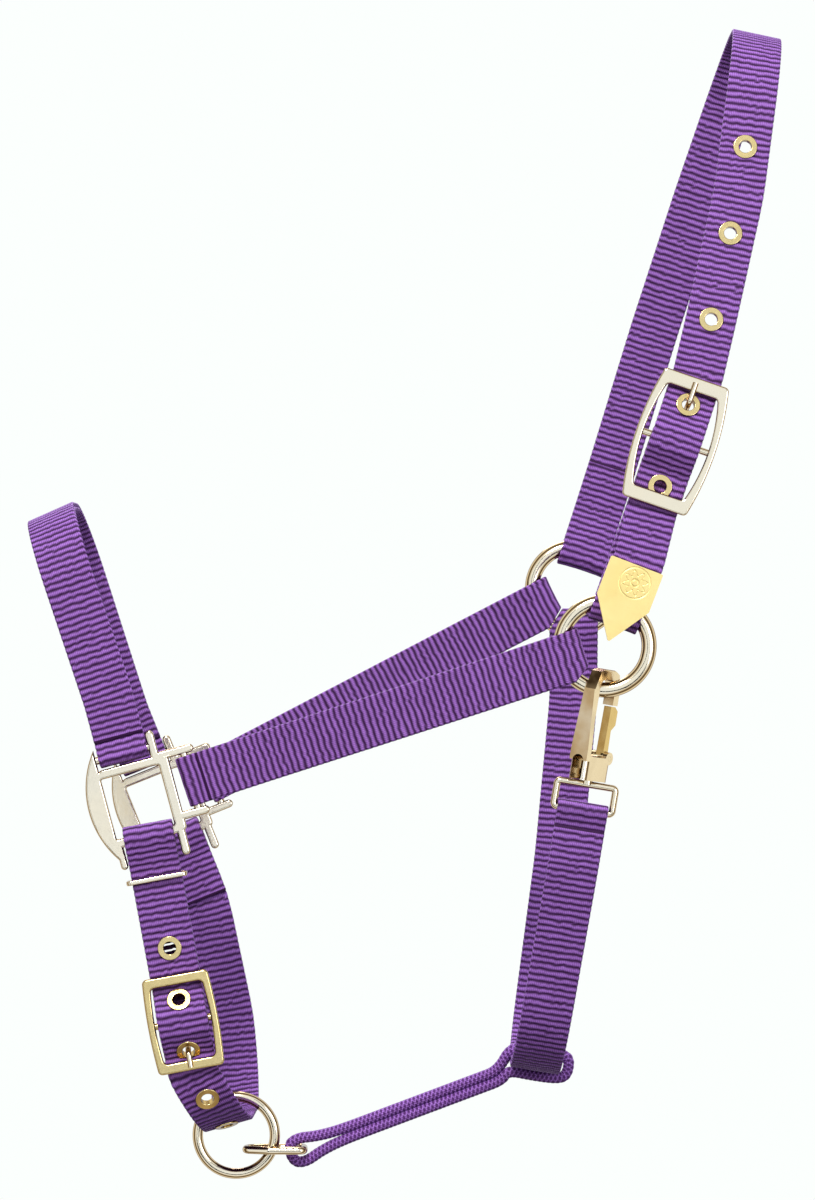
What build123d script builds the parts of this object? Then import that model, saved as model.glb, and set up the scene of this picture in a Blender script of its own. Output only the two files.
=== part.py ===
"""Horse head halter of flat webbing with cast and wire hardware.

Frame: +X towards the back of the head, +Z up, -Y the near (buckle) side.
The origin is the underside of the crown strap where it lies over the poll.
Each strap is a ribbon; its two plies are one solid, open only at the end loops.
"""
from build123d import *
import os
from math import ceil, cos, radians, sin, sqrt, tan

os.makedirs("parts", exist_ok=True)

# ---- driving dimensions, mm ----
WEB_WIDTH = 25.4          # width of all webbing
PLY = 2.5                 # one layer of webbing
FIT = 0.3                 # soft-to-metal clearance
HALF_WEB = WEB_WIDTH / 2

CHEEK_DEPTH = 70.0        # half distance between the two cheek rings
NOSE_DEPTH = 52.0         # half distance between the two squares
POLL_DEPTH = 50.0         # half width of the crown's turn over the poll
THROAT_DEPTH = 50.0       # half width of the throat strap's turn
CHIN_DEPTH = 46.0         # half width of the chin strap's turn

CHEEK_RING_R = 22.0       # ring radius to the middle of the wire
CHEEK_WIRE_R = 3.8
CHIN_RING_R = 19.8
CHIN_WIRE_R = 2.7

SQUARE_THICK = 4.5
SQUARE_OPENING = 30.0     # opening, nose to cheek
SQUARE_TOP = 14.0         # opening's upper edge above its centre
SQUARE_BOTTOM = 17.0      # opening's lower edge below its centre
SQUARE_RAIL = 4.7         # top and bottom bars
SQUARE_POST = 5.6         # bar on the cheek side
SQUARE_EAR = 4.2          # width of each ear
EAR_PLAY = 1.2            # room for a strap to lean between its ears
LOOP_PLAY = 1.4           # room for a strap loop to lean on its bar
RAIL_REACH = 2.9          # farthest corner of the bottom bar from its middle
WRAP_PLAY = 1.0           # room for the chin strap to lean on the bottom bar
LOOP_BAR_R = 2.0          # bars inside the strap loops

EYELET_R = 6.0
EYELET_HOLE_R = 3.2
EYELET_BARREL_R = 4.0
EYELET_FLANGE = 0.7
CROWN_EYELET_PITCH = 45.0
CHIN_EYELET_PITCH = 27.5
EYELETS = 5

BAR_R = 1.7               # centre bar of both buckles
BAR_SETBACK = 2.6         # centre bar behind the middle of the frame
BUCKLE_THICK = 3.0
TONGUE_R = 1.4
CROWN_BUCKLE = 67.0
CROWN_BUCKLE_BELLY = 41.0
CROWN_END_BAR = 7.0
CHIN_BUCKLE = 48.5
CHIN_BUCKLE_BELLY = 35.5
CHIN_END_BAR = 5.0
BUCKLE_RAIL = 3.6

TIP_LENGTH = 20.0         # straight part of the tip
TIP_POINT = 20.7
TIP_WALL = 0.8

KEEPER_BAR = 2.4
SNAP_TILT = 9.5           # lean of the snap from upright
SNAP_TURN = 35.0          # turn of the snap about its swivel post
SNAP_GAP = 14.0           # inside width of the hook
SNAP_WIDTH = 6.0
SNAP_BODY = 45.5          # ring wire down to the foot of the snap
GATE_PIN_R = 1.2
POST_R = 2.6
EYE_BAR_R = 1.7
EYE_WIDTH = WEB_WIDTH + 2 * FIT + 4 * EYE_BAR_R
EYE_DROP = 13.0

CORD_R = 2.5
CORD_LEGS = 6.6           # spacing of the two sewn legs
CLIP_LENGTH = 33.5
CLIP_WIDTH = 18.0
CLIP_R = 2.0

# ---- places ----
near_ring_at = Vector(-79, -CHEEK_DEPTH, -309.3)
off_ring_at = Vector(-89.3, CHEEK_DEPTH, -280.4)
near_square_at = Vector(-313, -NOSE_DEPTH, -386.5)
off_square_at = Vector(-306, NOSE_DEPTH, -392.5)
NEAR_TILT = 15.0
OFF_TILT = 22.0
NOSE_TOP = Vector(-358.5, 0, -241.0)
THROAT_BOTTOM = Vector(-112, 0, -526.5)
CHIN_BOTTOM = Vector(-267.6, 0, -554.0)
LAYER_GAP = EYELET_FLANGE + FIT                   # between two layers that slide on each other
SEATED_WEB = BUCKLE_THICK / 2 + LAYER_GAP + PLY / 2   # strap's middle behind an end bar
OVER_BAR = PLY * 1.5 + FIT * 2 + BAR_R - BAR_SETBACK   # strap's middle over the centre bar
ORIGIN = Vector(0, 0, 0)
STRETCH = 12              # sections in one loft of webbing


# ---- helpers ----
def slope(angle):
    """Unit vector in the side view, at an angle above +X."""
    return Vector(cos(radians(angle)), 0, sin(radians(angle)))


def route(points, radii, faces):
    """Stations (place, heading, across) along straight runs with tangent arcs."""
    stations = [(points[0], (points[1] - points[0]).normalized(), faces[0])]
    corners = zip(points, points[1:], points[2:], radii, faces[1:])
    for before, corner, after, radius, face in corners:
        inward = (corner - before).normalized()
        outward = (after - corner).normalized()
        turn = inward.get_angle(outward)
        pole = inward.cross(outward).normalized()
        start = corner - inward * (radius * tan(radians(turn / 2)))
        pivot = start + pole.cross(inward) * radius
        steps = max(1, ceil(turn / 12))
        for step in range(steps + 1):
            swing = turn * step / steps
            arm = (start - pivot).rotate(Axis(ORIGIN, pole), swing)
            stations.append((pivot + arm, inward.rotate(Axis(ORIGIN, pole), swing), face))
    stations.append((points[-1], (points[-1] - points[-2]).normalized(), faces[-1]))
    return [(place, heading, (face - heading * face.dot(heading)).normalized())
            for place, heading, face in stations]


def ribbon(stations, thickness):
    """Flat webbing along the stations, in stretches that meet at shared sections."""
    kept = stations[:1]
    for station in stations[1:]:
        if (station[0] - kept[-1][0]).length > 0.2:
            kept.append(station)
    with BuildPart() as strip:
        for first in range(0, len(kept) - 1, STRETCH):
            with BuildPart(mode=Mode.PRIVATE) as stretch:
                for place, heading, across in kept[first:first + STRETCH + 1]:
                    with BuildSketch(Plane(place, x_dir=across, z_dir=heading)):
                        Rectangle(WEB_WIDTH, thickness)
                loft(ruled=True)
            add(stretch.part)
    return strip.part


def station_at(stations, distance):
    """Place, heading and across direction at a distance along the stations."""
    for (start, heading, across), (end, _, _) in zip(stations, stations[1:]):
        step = (end - start).length
        if distance <= step and step > 0.01:
            return start + (end - start).normalized() * distance, (end - start).normalized(), across
        distance -= step
    raise ValueError("distance is past the strap's end")


def strap_loop(centre, away, across, radius, reach, neck):
    """Sewn loop of one ply round a bar; `away` leads along the strap to its neck."""
    outer = radius + PLY
    with BuildPart() as loop:
        with BuildSketch(Plane(centre, x_dir=away, z_dir=across)):
            with BuildLine():
                Polyline((0, outer), (reach, outer), (neck, PLY), (neck, -PLY), (reach, -outer), (0, -outer))
                ThreePointArc((0, -outer), (-outer, 0), (0, outer))
            make_face()
            with BuildLine():
                Polyline((0, radius), (reach, radius), (neck, 0.05), (neck, -0.05), (reach, -radius),
                         (0, -radius))
                ThreePointArc((0, -radius), (-radius, 0), (0, radius))
            make_face(mode=Mode.SUBTRACT)
        extrude(amount=HALF_WEB, both=True)
    return loop.part


def ring_loop(ring_at, away, across, ring_r, wire_r):
    """Strap loop that clears a ring's wire over the whole width of the webbing."""
    near_edge = sqrt((ring_r - wire_r) ** 2 - HALF_WEB ** 2) - FIT
    radius = wire_r + FIT
    reach = ring_r + wire_r - radius - (near_edge + radius) + FIT
    neck = reach + 16
    centre = ring_at + away * (near_edge + radius)
    return strap_loop(centre, away, across, radius, reach, neck), centre + away * neck


def mitre(ring_at, angle, turn):
    """Room beside a strap loop for the next piece on the ring; `turn` is the side cut off."""
    with BuildPart() as wedge:
        with BuildSketch(Plane(ring_at, x_dir=slope(angle), z_dir=(0, -1, 0))):
            with Locations((20, turn * (10 - FIT / 2))):
                Rectangle(40, 20)
        extrude(amount=CHEEK_WIRE_R + FIT + PLY + 1, both=True)
    return wedge.part


def bar_loop(centre, away, across, radius, play=0.25):
    """Strap loop round a straight bar, `play` longer than the bar at each end."""
    neck = 14.0
    start = centre - away * play
    return strap_loop(start, away, across, radius + FIT, 2 * play, neck), start + away * neck


def wire_ring(ring_at, ring_r, wire_r):
    with BuildPart() as ring:
        with BuildSketch(Plane(ring_at, x_dir=(1, 0, 0), z_dir=(0, 0, 1))):
            with Locations((ring_r, 0)):
                Circle(wire_r)
        revolve(axis=Axis(ring_at, (0, 1, 0)))
    return ring.part


def eyelet(place, heading, across, thickness):
    """Rolled eyelet set through the webbing, with a flange on each face."""
    half = thickness / 2 + 0.05
    with BuildPart() as one:
        with BuildSketch(Plane(place, x_dir=heading, z_dir=across)):
            with Locations(((EYELET_HOLE_R + EYELET_BARREL_R) / 2, 0)):
                Rectangle(EYELET_BARREL_R - EYELET_HOLE_R, 2 * half + EYELET_FLANGE)
            for side in (1, -1):
                with Locations(((EYELET_HOLE_R + EYELET_R) / 2, side * (half + EYELET_FLANGE / 2))):
                    RectangleRounded(EYELET_R - EYELET_HOLE_R, EYELET_FLANGE, EYELET_FLANGE * 0.45)
        revolve(axis=Axis(place, heading.cross(across)))
    return one.part


def eyelet_hole(place, heading, across):
    with BuildPart() as hole:
        with BuildSketch(Plane(place, x_dir=heading, z_dir=heading.cross(across))):
            Circle(EYELET_BARREL_R + 0.1)
        extrude(amount=PLY * 1.4, both=True)
    return hole.part


# ---- halter squares ----
nose_web_x = -0.8         # noseband's middle along the square's top bar
nose_bar_z = SQUARE_TOP + SQUARE_RAIL + 2 * FIT + PLY + LOOP_BAR_R
cheek_web_z = 2.1         # cheek strap's middle along the square's back bar
cheek_bar_x = SQUARE_OPENING / 2 + SQUARE_POST + 2 * LOOP_PLAY + 2 * FIT + PLY + LOOP_BAR_R
chin_web_x = 1.2          # chin strap's middle along the square's bottom bar


def halter_square(square_at, tilt):
    """Cast square: D-shaped plate on the nose side, three bars, ears beside each strap."""
    nose_reach = 25.0
    plate_r = 47.6
    upper = SQUARE_TOP + SQUARE_RAIL
    lower = SQUARE_BOTTOM + SQUARE_RAIL
    half = SQUARE_OPENING / 2
    ear_x = nose_web_x + HALF_WEB + FIT + SQUARE_EAR / 2
    chin_ear_x = chin_web_x + HALF_WEB + EAR_PLAY + SQUARE_EAR / 2
    plane = Plane(square_at, x_dir=slope(tilt), z_dir=(0, -1, 0))
    with BuildPart() as square:
        with BuildSketch(plane):
            with Locations((plate_r - nose_reach, 0)):
                Circle(plate_r)
            with Locations((plate_r - half, 0)):
                Rectangle(2 * plate_r, 2 * plate_r, mode=Mode.SUBTRACT)
            with Locations(((SQUARE_POST) / 2 - 0.5, (SQUARE_TOP - SQUARE_BOTTOM) / 2)):
                RectangleRounded(2 * half + SQUARE_POST + 1, upper + lower, 3)
            with Locations((0, (SQUARE_TOP - SQUARE_BOTTOM) / 2)):
                RectangleRounded(2 * half, SQUARE_TOP + SQUARE_BOTTOM, 1, mode=Mode.SUBTRACT)
            with Locations((ear_x, upper + 4)):
                SlotOverall(18, SQUARE_EAR, rotation=90)
            with Locations((half + SQUARE_POST + 4, cheek_web_z + HALF_WEB + EAR_PLAY + SQUARE_EAR / 2)):
                SlotOverall(19, SQUARE_EAR)
            with Locations((half + SQUARE_POST + 4, cheek_web_z - HALF_WEB - EAR_PLAY - SQUARE_EAR / 2)):
                SlotOverall(19, SQUARE_EAR)
            with Locations((chin_ear_x, -lower - 3)):
                SlotOverall(17, SQUARE_EAR, rotation=90)
            with Locations((-half + 0.4, -lower - 4)):
                SlotOverall(14, SQUARE_EAR - 0.6, rotation=90)
        extrude(amount=SQUARE_THICK / 2, both=True)
        fillet(square.faces().sort_by(Axis.Y)[0].edges(), 1.2)
        fillet(square.faces().sort_by(Axis.Y)[-1].edges(), 1.2)
        nose_span = WEB_WIDTH + 2 * FIT + 2
        cheek_span = WEB_WIDTH + 2 * EAR_PLAY + 2
        bars = ((nose_web_x, nose_bar_z, 0, nose_span), (cheek_bar_x, cheek_web_z, 90, cheek_span))
        for x, z, turn, span in bars:
            middle = plane.from_local_coords(Vector(x, z, 0))
            along = slope(tilt + turn)
            with BuildSketch(Plane(middle - along * span / 2, z_dir=along)):
                Circle(LOOP_BAR_R)
            extrude(amount=span)
    return square.part


def on_square(square_at, tilt, x, z):
    return square_at + slope(tilt) * x + slope(tilt + 90) * z


near_nose_bar = on_square(near_square_at, NEAR_TILT, nose_web_x, nose_bar_z)
off_nose_bar = on_square(off_square_at, OFF_TILT, nose_web_x, nose_bar_z)
near_cheek_bar = on_square(near_square_at, NEAR_TILT, cheek_bar_x, cheek_web_z)
off_cheek_bar = on_square(off_square_at, OFF_TILT, cheek_bar_x, cheek_web_z)
chin_bar_z = -SQUARE_BOTTOM - SQUARE_RAIL / 2
near_chin_bar = on_square(near_square_at, NEAR_TILT, chin_web_x, chin_bar_z)
off_chin_bar = on_square(off_square_at, OFF_TILT, chin_web_x, chin_bar_z)

near_square = halter_square(near_square_at, NEAR_TILT)
near_square.label = "near_square"
export_step(near_square, "parts/near_square.step")
off_square = halter_square(off_square_at, OFF_TILT)
off_square.label = "off_square"
export_step(off_square, "parts/off_square.step")

# ---- rings ----
near_ring = wire_ring(near_ring_at, CHEEK_RING_R, CHEEK_WIRE_R)
near_ring.label = "near_cheek_ring"
export_step(near_ring, "parts/near_cheek_ring.step")
off_ring = wire_ring(off_ring_at, CHEEK_RING_R, CHEEK_WIRE_R)
off_ring.label = "off_cheek_ring"
export_step(off_ring, "parts/off_cheek_ring.step")

# ---- noseband ----
near_leg = slope(NEAR_TILT + 90)
off_leg = slope(OFF_TILT + 90)
near_nose_loop, near_nose_neck = bar_loop(near_nose_bar, near_leg, slope(NEAR_TILT), LOOP_BAR_R)
off_nose_loop, off_nose_neck = bar_loop(off_nose_bar, off_leg, slope(OFF_TILT), LOOP_BAR_R)
nose_top = NOSE_TOP - Vector(0, 0, PLY)
nose_points = [near_nose_neck, near_nose_neck + near_leg * 14,
               nose_top + Vector(0, -NOSE_DEPTH + 3, 0), nose_top + Vector(0, NOSE_DEPTH - 3, 0),
               off_nose_neck + off_leg * 14, off_nose_neck]
nose_faces = [slope(NEAR_TILT), slope(17), slope(24), slope(24), slope(19), slope(OFF_TILT)]
nose_run = ribbon(route(nose_points, [60, 36, 36, 60], nose_faces), 2 * PLY)
with BuildPart() as noseband_strap:
    add(near_nose_loop)
    add(nose_run)
    add(off_nose_loop)
noseband_strap.part.label = "noseband_strap"
export_step(noseband_strap.part, "parts/noseband_strap.step")


# ---- cheek straps ----
def cheek_strap(bar, ring_at, mitre_angle):
    """Strap from a square's back bar to a cheek ring, stepping out to the ring's plane."""
    away = Vector(ring_at.X - bar.X, 0, ring_at.Z - bar.Z).normalized()
    across = Vector(-away.Z, 0, away.X)
    loop_at_bar, bar_neck = bar_loop(bar, away, across, LOOP_BAR_R, LOOP_PLAY)
    loop_at_ring, ring_neck = ring_loop(ring_at, away * -1, across, CHEEK_RING_R, CHEEK_WIRE_R)
    points = [bar_neck, bar_neck + away * 22, ring_neck - away * 24, ring_neck]
    run = ribbon(route(points, [120, 120], [across] * 4), 2 * PLY)
    with BuildPart() as strap:
        add(loop_at_bar)
        add(run)
        add(loop_at_ring)
        add(mitre(ring_at, mitre_angle, 1), mode=Mode.SUBTRACT)
    return strap.part


near_cheek = cheek_strap(near_cheek_bar, near_ring_at, 232)
near_cheek.label = "near_cheek_strap"
export_step(near_cheek, "parts/near_cheek_strap.step")
off_cheek = cheek_strap(off_cheek_bar, off_ring_at, 239)
off_cheek.label = "off_cheek_strap"
export_step(off_cheek, "parts/off_cheek_strap.step")

# ---- crown ----
CROWN_LEAN = 18.9         # lean of the buckled stretch from upright
crown_up = slope(90 - CROWN_LEAN)
crown_across = slope(-CROWN_LEAN)
buckle_y = -CHEEK_DEPTH - SEATED_WEB - PLY * 1.5 - LAYER_GAP   # middle of the frame
crown_buckle_at = Vector(near_ring_at.X, buckle_y, near_ring_at.Z) + crown_up * 107


def on_buckle(frame_at, up, along, out):
    """Point on a buckle's middle line: `along` up the strap, `out` away from the head."""
    return frame_at + up * along + Vector(0, -out, 0)


def over_buckle(frame_at, up, reach, foot_seat, head_seat):
    """Middle line of a strap behind both end bars and over the centre bar, from the foot up."""
    return [on_buckle(frame_at, up, along, out) for along, out in (
        (-reach - 2, -SEATED_WEB), (-reach + foot_seat, -SEATED_WEB), (-4.5, OVER_BAR),
        (4.5, OVER_BAR), (reach - head_seat, -SEATED_WEB), (reach + 2, -SEATED_WEB))]


crown_reach = CROWN_BUCKLE / 2
tip_out = near_ring_at.Y - CHEEK_WIRE_R - FIT - PLY - FIT - TIP_WALL - PLY / 2 - 0.6
tip_at = Vector(near_ring_at.X, tip_out, near_ring_at.Z) + slope(90 - 21.5) * 27
crown_points = [tip_at, tip_at + slope(90 - 21) * 20]
crown_points += over_buckle(crown_buckle_at, crown_up, crown_reach, 17.5, 8)
crown_points += [Vector(-26.5, -72, -148), Vector(-11.8, -62, -84), Vector(0.2, -POLL_DEPTH, PLY / 2),
                 Vector(1.4, POLL_DEPTH, PLY / 2), Vector(-24.5, 60, -75), Vector(-46.7, 68, -143.8)]
crown_faces = [slope(-21.5), slope(-20.5)] + [crown_across] * 6
crown_faces += [slope(-16), slope(-12.5), slope(-12), slope(-13), slope(-19), slope(-18.5)]
off_crown_up = slope(90 - 17.7)
off_crown_across = slope(-17.7)
off_crown_loop, off_crown_neck = ring_loop(off_ring_at, off_crown_up, off_crown_across,
                                           CHEEK_RING_R, CHEEK_WIRE_R)
off_ply = Vector(0, PLY / 2, 0)
crown_points += [off_crown_neck + off_crown_up * 30 + off_ply, off_crown_neck + off_ply]
crown_faces += [slope(-17.7), slope(-17.7)]
crown_radii = [24, 20, 6, 6, 22, 22, 30, 200, 200, 44, 44, 200, 200, 120]
crown_route = route(crown_points, crown_radii, crown_faces)
crown_run = ribbon(crown_route, PLY)
off_crown_lap = ribbon([(off_crown_neck, off_crown_up, slope(-17.7)),
                        (off_crown_neck + off_crown_up * 28, off_crown_up, slope(-17.7))], 2 * PLY)

CROWN_TONGUE_HOLE = 19.0  # eyelet in use, above the centre bar
tongue_place = crown_buckle_at + crown_up * CROWN_TONGUE_HOLE


def distance_to(stations, place, up):
    """Distance along the stations to the level of a place, measured along `up`."""
    travelled = 0.0
    for (start, _, _), (end, _, _) in zip(stations, stations[1:]):
        low = (start - place).dot(up)
        high = (end - place).dot(up)
        if low <= 0 < high:
            return travelled + (end - start).length * -low / (high - low)
        travelled += (end - start).length
    raise ValueError("the strap doesn't reach that level")


crown_hole_at = distance_to(crown_route, tongue_place, crown_up)
crown_holes = [station_at(crown_route, crown_hole_at + CROWN_EYELET_PITCH * step)
               for step in range(-1, EYELETS - 1)]
crown_eyelet_parts = [eyelet(*hole, PLY) for hole in crown_holes]
crown_hole_parts = [eyelet_hole(*hole) for hole in crown_holes]
with BuildPart() as crown_strap:
    add(crown_run)
    add(off_crown_lap)
    add(off_crown_loop)
    add(crown_hole_parts, mode=Mode.SUBTRACT)
crown_strap.part.label = "crown_strap"
export_step(crown_strap.part, "parts/crown_strap.step")
with BuildPart() as crown_eyelets:
    add(crown_eyelet_parts)
crown_eyelets.part.label = "crown_eyelets"
export_step(crown_eyelets.part, "parts/crown_eyelets.step")

with BuildPart() as crown_tip:
    half = HALF_WEB + 0.2 + TIP_WALL
    tip_up = crown_route[0][1]
    tip_plane = Plane(tip_at, x_dir=crown_route[0][2], z_dir=crown_route[0][2].cross(tip_up))
    with BuildSketch(tip_plane):
        with BuildLine():
            Polyline((-half, TIP_LENGTH - 4), (-half, -4), (0, -4 - TIP_POINT), (half, -4),
                     (half, TIP_LENGTH - 4), close=True)
        make_face()
    extrude(amount=PLY / 2 + 0.1 + TIP_WALL, both=True)
    fillet(crown_tip.edges().filter_by(Axis(tip_at, tip_plane.z_dir)), 0.8)
    with BuildSketch(tip_plane):
        with Locations((0, TIP_LENGTH / 2 - 0.1)):
            Rectangle(2 * (HALF_WEB + 0.1), TIP_LENGTH + 0.2)
    extrude(amount=PLY / 2 + 0.1, both=True, mode=Mode.SUBTRACT)
crown_tip.part.label = "crown_tip"
export_step(crown_tip.part, "parts/crown_tip.step")

# ---- short crown strap, from the near ring to the crown buckle ----
short_loop, short_neck = ring_loop(near_ring_at, crown_up, crown_across, CHEEK_RING_R, CHEEK_WIRE_R)
bar_at = on_buckle(crown_buckle_at, crown_up, 0, -BAR_SETBACK)
short_lean = Vector(0, 0.47, 0)                   # the strap's end leads in behind the bottom bar
centre_loop, centre_neck = bar_loop(bar_at, (short_lean - crown_up).normalized(), crown_across, BAR_R)
short_bend = centre_neck - crown_up * 10
short_bend = Vector(short_bend.X, short_neck.Y, short_bend.Z)
short_run = ribbon([(short_neck, crown_up, crown_across), (short_bend, crown_up, crown_across),
                    (centre_neck, (crown_up - short_lean).normalized(), crown_across)], 2 * PLY)


def tongue_slot(frame_at, up, across):
    """Room for a tongue's hub in the strap loop round the centre bar."""
    with BuildPart() as slot:
        with BuildSketch(Plane(on_buckle(frame_at, up, 0, -BAR_SETBACK), x_dir=up, z_dir=across)):
            with Locations((1.5, 0)):
                Rectangle(14, 14)
        extrude(amount=3.1, both=True)
    return slot.part


crown_slot = tongue_slot(crown_buckle_at, crown_up, crown_across)
with BuildPart() as near_crown_strap:
    add(short_loop)
    add(short_run)
    add(centre_loop)
    add(crown_slot, mode=Mode.SUBTRACT)
near_crown_strap.part.label = "near_crown_strap"
export_step(near_crown_strap.part, "parts/near_crown_strap.step")


# ---- buckles ----
def buckle_frame(frame_at, up, across, length, belly, end_bar):
    """Barrel-shaped frame with a centre bar set back on two lugs."""
    end = HALF_WEB + FIT + BUCKLE_RAIL
    waist = belly / 2 - BUCKLE_RAIL
    plane = Plane(frame_at, x_dir=across, z_dir=(0, -1, 0))
    with BuildPart() as frame:
        with BuildSketch(plane):
            with BuildLine():
                Line((-end, length / 2), (end, length / 2))
                ThreePointArc((end, length / 2), (belly / 2, 0), (end, -length / 2))
                Line((end, -length / 2), (-end, -length / 2))
                ThreePointArc((-end, -length / 2), (-belly / 2, 0), (-end, length / 2))
            make_face()
            with BuildLine():
                inside = length / 2 - end_bar
                Line((-end + BUCKLE_RAIL, inside), (end - BUCKLE_RAIL, inside))
                ThreePointArc((end - BUCKLE_RAIL, inside), (waist, 0), (end - BUCKLE_RAIL, -inside))
                Line((end - BUCKLE_RAIL, -inside), (-end + BUCKLE_RAIL, -inside))
                ThreePointArc((-end + BUCKLE_RAIL, -inside), (-waist, 0), (-end + BUCKLE_RAIL, inside))
            make_face(mode=Mode.SUBTRACT)
        extrude(amount=BUCKLE_THICK / 2, both=True)
        fillet(frame.edges().filter_by(Axis.Y), 2.4)
        fillet(frame.faces().sort_by(Axis.Y)[0].edges(), 1.0)
        with BuildSketch(plane.offset(-BAR_SETBACK - BAR_R)):
            with Locations((belly / 2 - BUCKLE_RAIL / 2, 0), (-belly / 2 + BUCKLE_RAIL / 2, 0)):
                RectangleRounded(BUCKLE_RAIL - 0.4, 6, 1)
        extrude(amount=BAR_SETBACK + BAR_R)
        bar_middle = on_buckle(frame_at, up, 0, -BAR_SETBACK)
        with BuildSketch(Plane(bar_middle - across * (belly / 2 - 1), z_dir=across)):
            Circle(BAR_R)
        extrude(amount=belly - 2)
    return frame.part


def buckle_tongue(frame_at, up, across, hole, bar_reach):
    """Bent tongue: hub on the centre bar, under the strap, up the eyelet, over the end bar."""
    top = BUCKLE_THICK / 2 + TONGUE_R + 0.1
    bends = [on_buckle(frame_at, up, along, out) for along, out in (
        (2.6, -BAR_SETBACK - 1.2), (hole - 5.5, -5.0), (hole - 1.8, -4.6), (hole + 1.6, top - 0.3),
        (bar_reach + 0.8, top))]
    with BuildPart() as tongue:
        with BuildLine():
            FilletPolyline(*bends, radius=[6, 2.0, 2.0])
        path = tongue.pending_edges_as_wire
        with BuildSketch(Plane(path @ 0, z_dir=path % 0)):
            Circle(TONGUE_R)
        sweep(path=path)
        bar_middle = on_buckle(frame_at, up, 0, -BAR_SETBACK)
        with BuildSketch(Plane(bar_middle - across * 2.4, x_dir=up, z_dir=across)):
            Circle(BAR_R + 0.25 + 1.5)
            Circle(BAR_R + 0.25, mode=Mode.SUBTRACT)
        extrude(amount=4.8)
    return tongue.part


crown_frame = buckle_frame(crown_buckle_at, crown_up, crown_across, CROWN_BUCKLE,
                           CROWN_BUCKLE_BELLY, CROWN_END_BAR)
crown_frame.label = "crown_buckle_frame"
export_step(crown_frame, "parts/crown_buckle_frame.step")
crown_tongue = buckle_tongue(crown_buckle_at, crown_up, crown_across, CROWN_TONGUE_HOLE,
                             crown_reach - CROWN_END_BAR / 2)
crown_tongue.label = "crown_buckle_tongue"
export_step(crown_tongue, "parts/crown_buckle_tongue.step")

# ---- throat strap ----
snap_up = slope(90 - SNAP_TILT)
snap_across = slope(-SNAP_TILT)
hook_at = near_ring_at + slope(-93) * CHEEK_RING_R
eye_at = hook_at - snap_up * (SNAP_BODY + 0.4 + EYE_BAR_R)       # middle of the eye's top bar
eye_low = eye_at - snap_up * EYE_DROP                             # bar inside the strap loop
near_throat_loop, near_throat_neck = bar_loop(eye_low, snap_up * -1, snap_across, EYE_BAR_R)
off_throat_loop, off_throat_neck = ring_loop(off_ring_at, Vector(0, 0, -1), slope(0),
                                             CHEEK_RING_R, CHEEK_WIRE_R)
throat_low = THROAT_BOTTOM + Vector(0, 0, PLY)
throat_points = [near_throat_neck, near_throat_neck - snap_up * 14,
                 throat_low + Vector(-0.5, -THROAT_DEPTH, 0), throat_low + Vector(0.5, THROAT_DEPTH, 0),
                 Vector(-97.3, 64, -421), off_throat_neck - Vector(0, 0, 14), off_throat_neck]
throat_faces = [snap_across, snap_across, slope(-9.5), slope(-9.5), slope(-7), slope(0), slope(0)]
throat_run = ribbon(route(throat_points, [120, 42, 42, 200, 120], throat_faces), 2 * PLY)
with BuildPart() as throat_strap:
    add(near_throat_loop)
    add(throat_run)
    add(off_throat_loop)
    add(mitre(off_ring_at, 239, -1), mode=Mode.SUBTRACT)
throat_strap.part.label = "throat_strap"
export_step(throat_strap.part, "parts/throat_strap.step")

# ---- snap ----
snap_out = (snap_across * sin(radians(SNAP_TURN)) + Vector(0, 1, 0) * cos(radians(SNAP_TURN)))
snap_plane = Plane(hook_at, x_dir=snap_out, z_dir=snap_out.cross(snap_up))
snap_edge = snap_up.cross(snap_out)
HOOK_BAND = 5.0           # thickness of the hook's bow
HOOK_ROOM = 5.5           # wire's middle to the inside of the bow
HOOK_TIP = 4.5
HOOK_MOUTH = 7.0          # bottom of the hook's tip below the wire's middle
FOOT_HEIGHT = 12.0
SNAP_FOOT = 10.0          # width of the foot
CAVITY_R = 4.6
gate_x = SNAP_GAP / 2 + 2.0
gate_z = -SNAP_BODY + FOOT_HEIGHT
shank_x = -SNAP_GAP / 2 - HOOK_BAND
foot_plane = Plane(hook_at - snap_up * SNAP_BODY, x_dir=snap_out, z_dir=snap_up)

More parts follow.
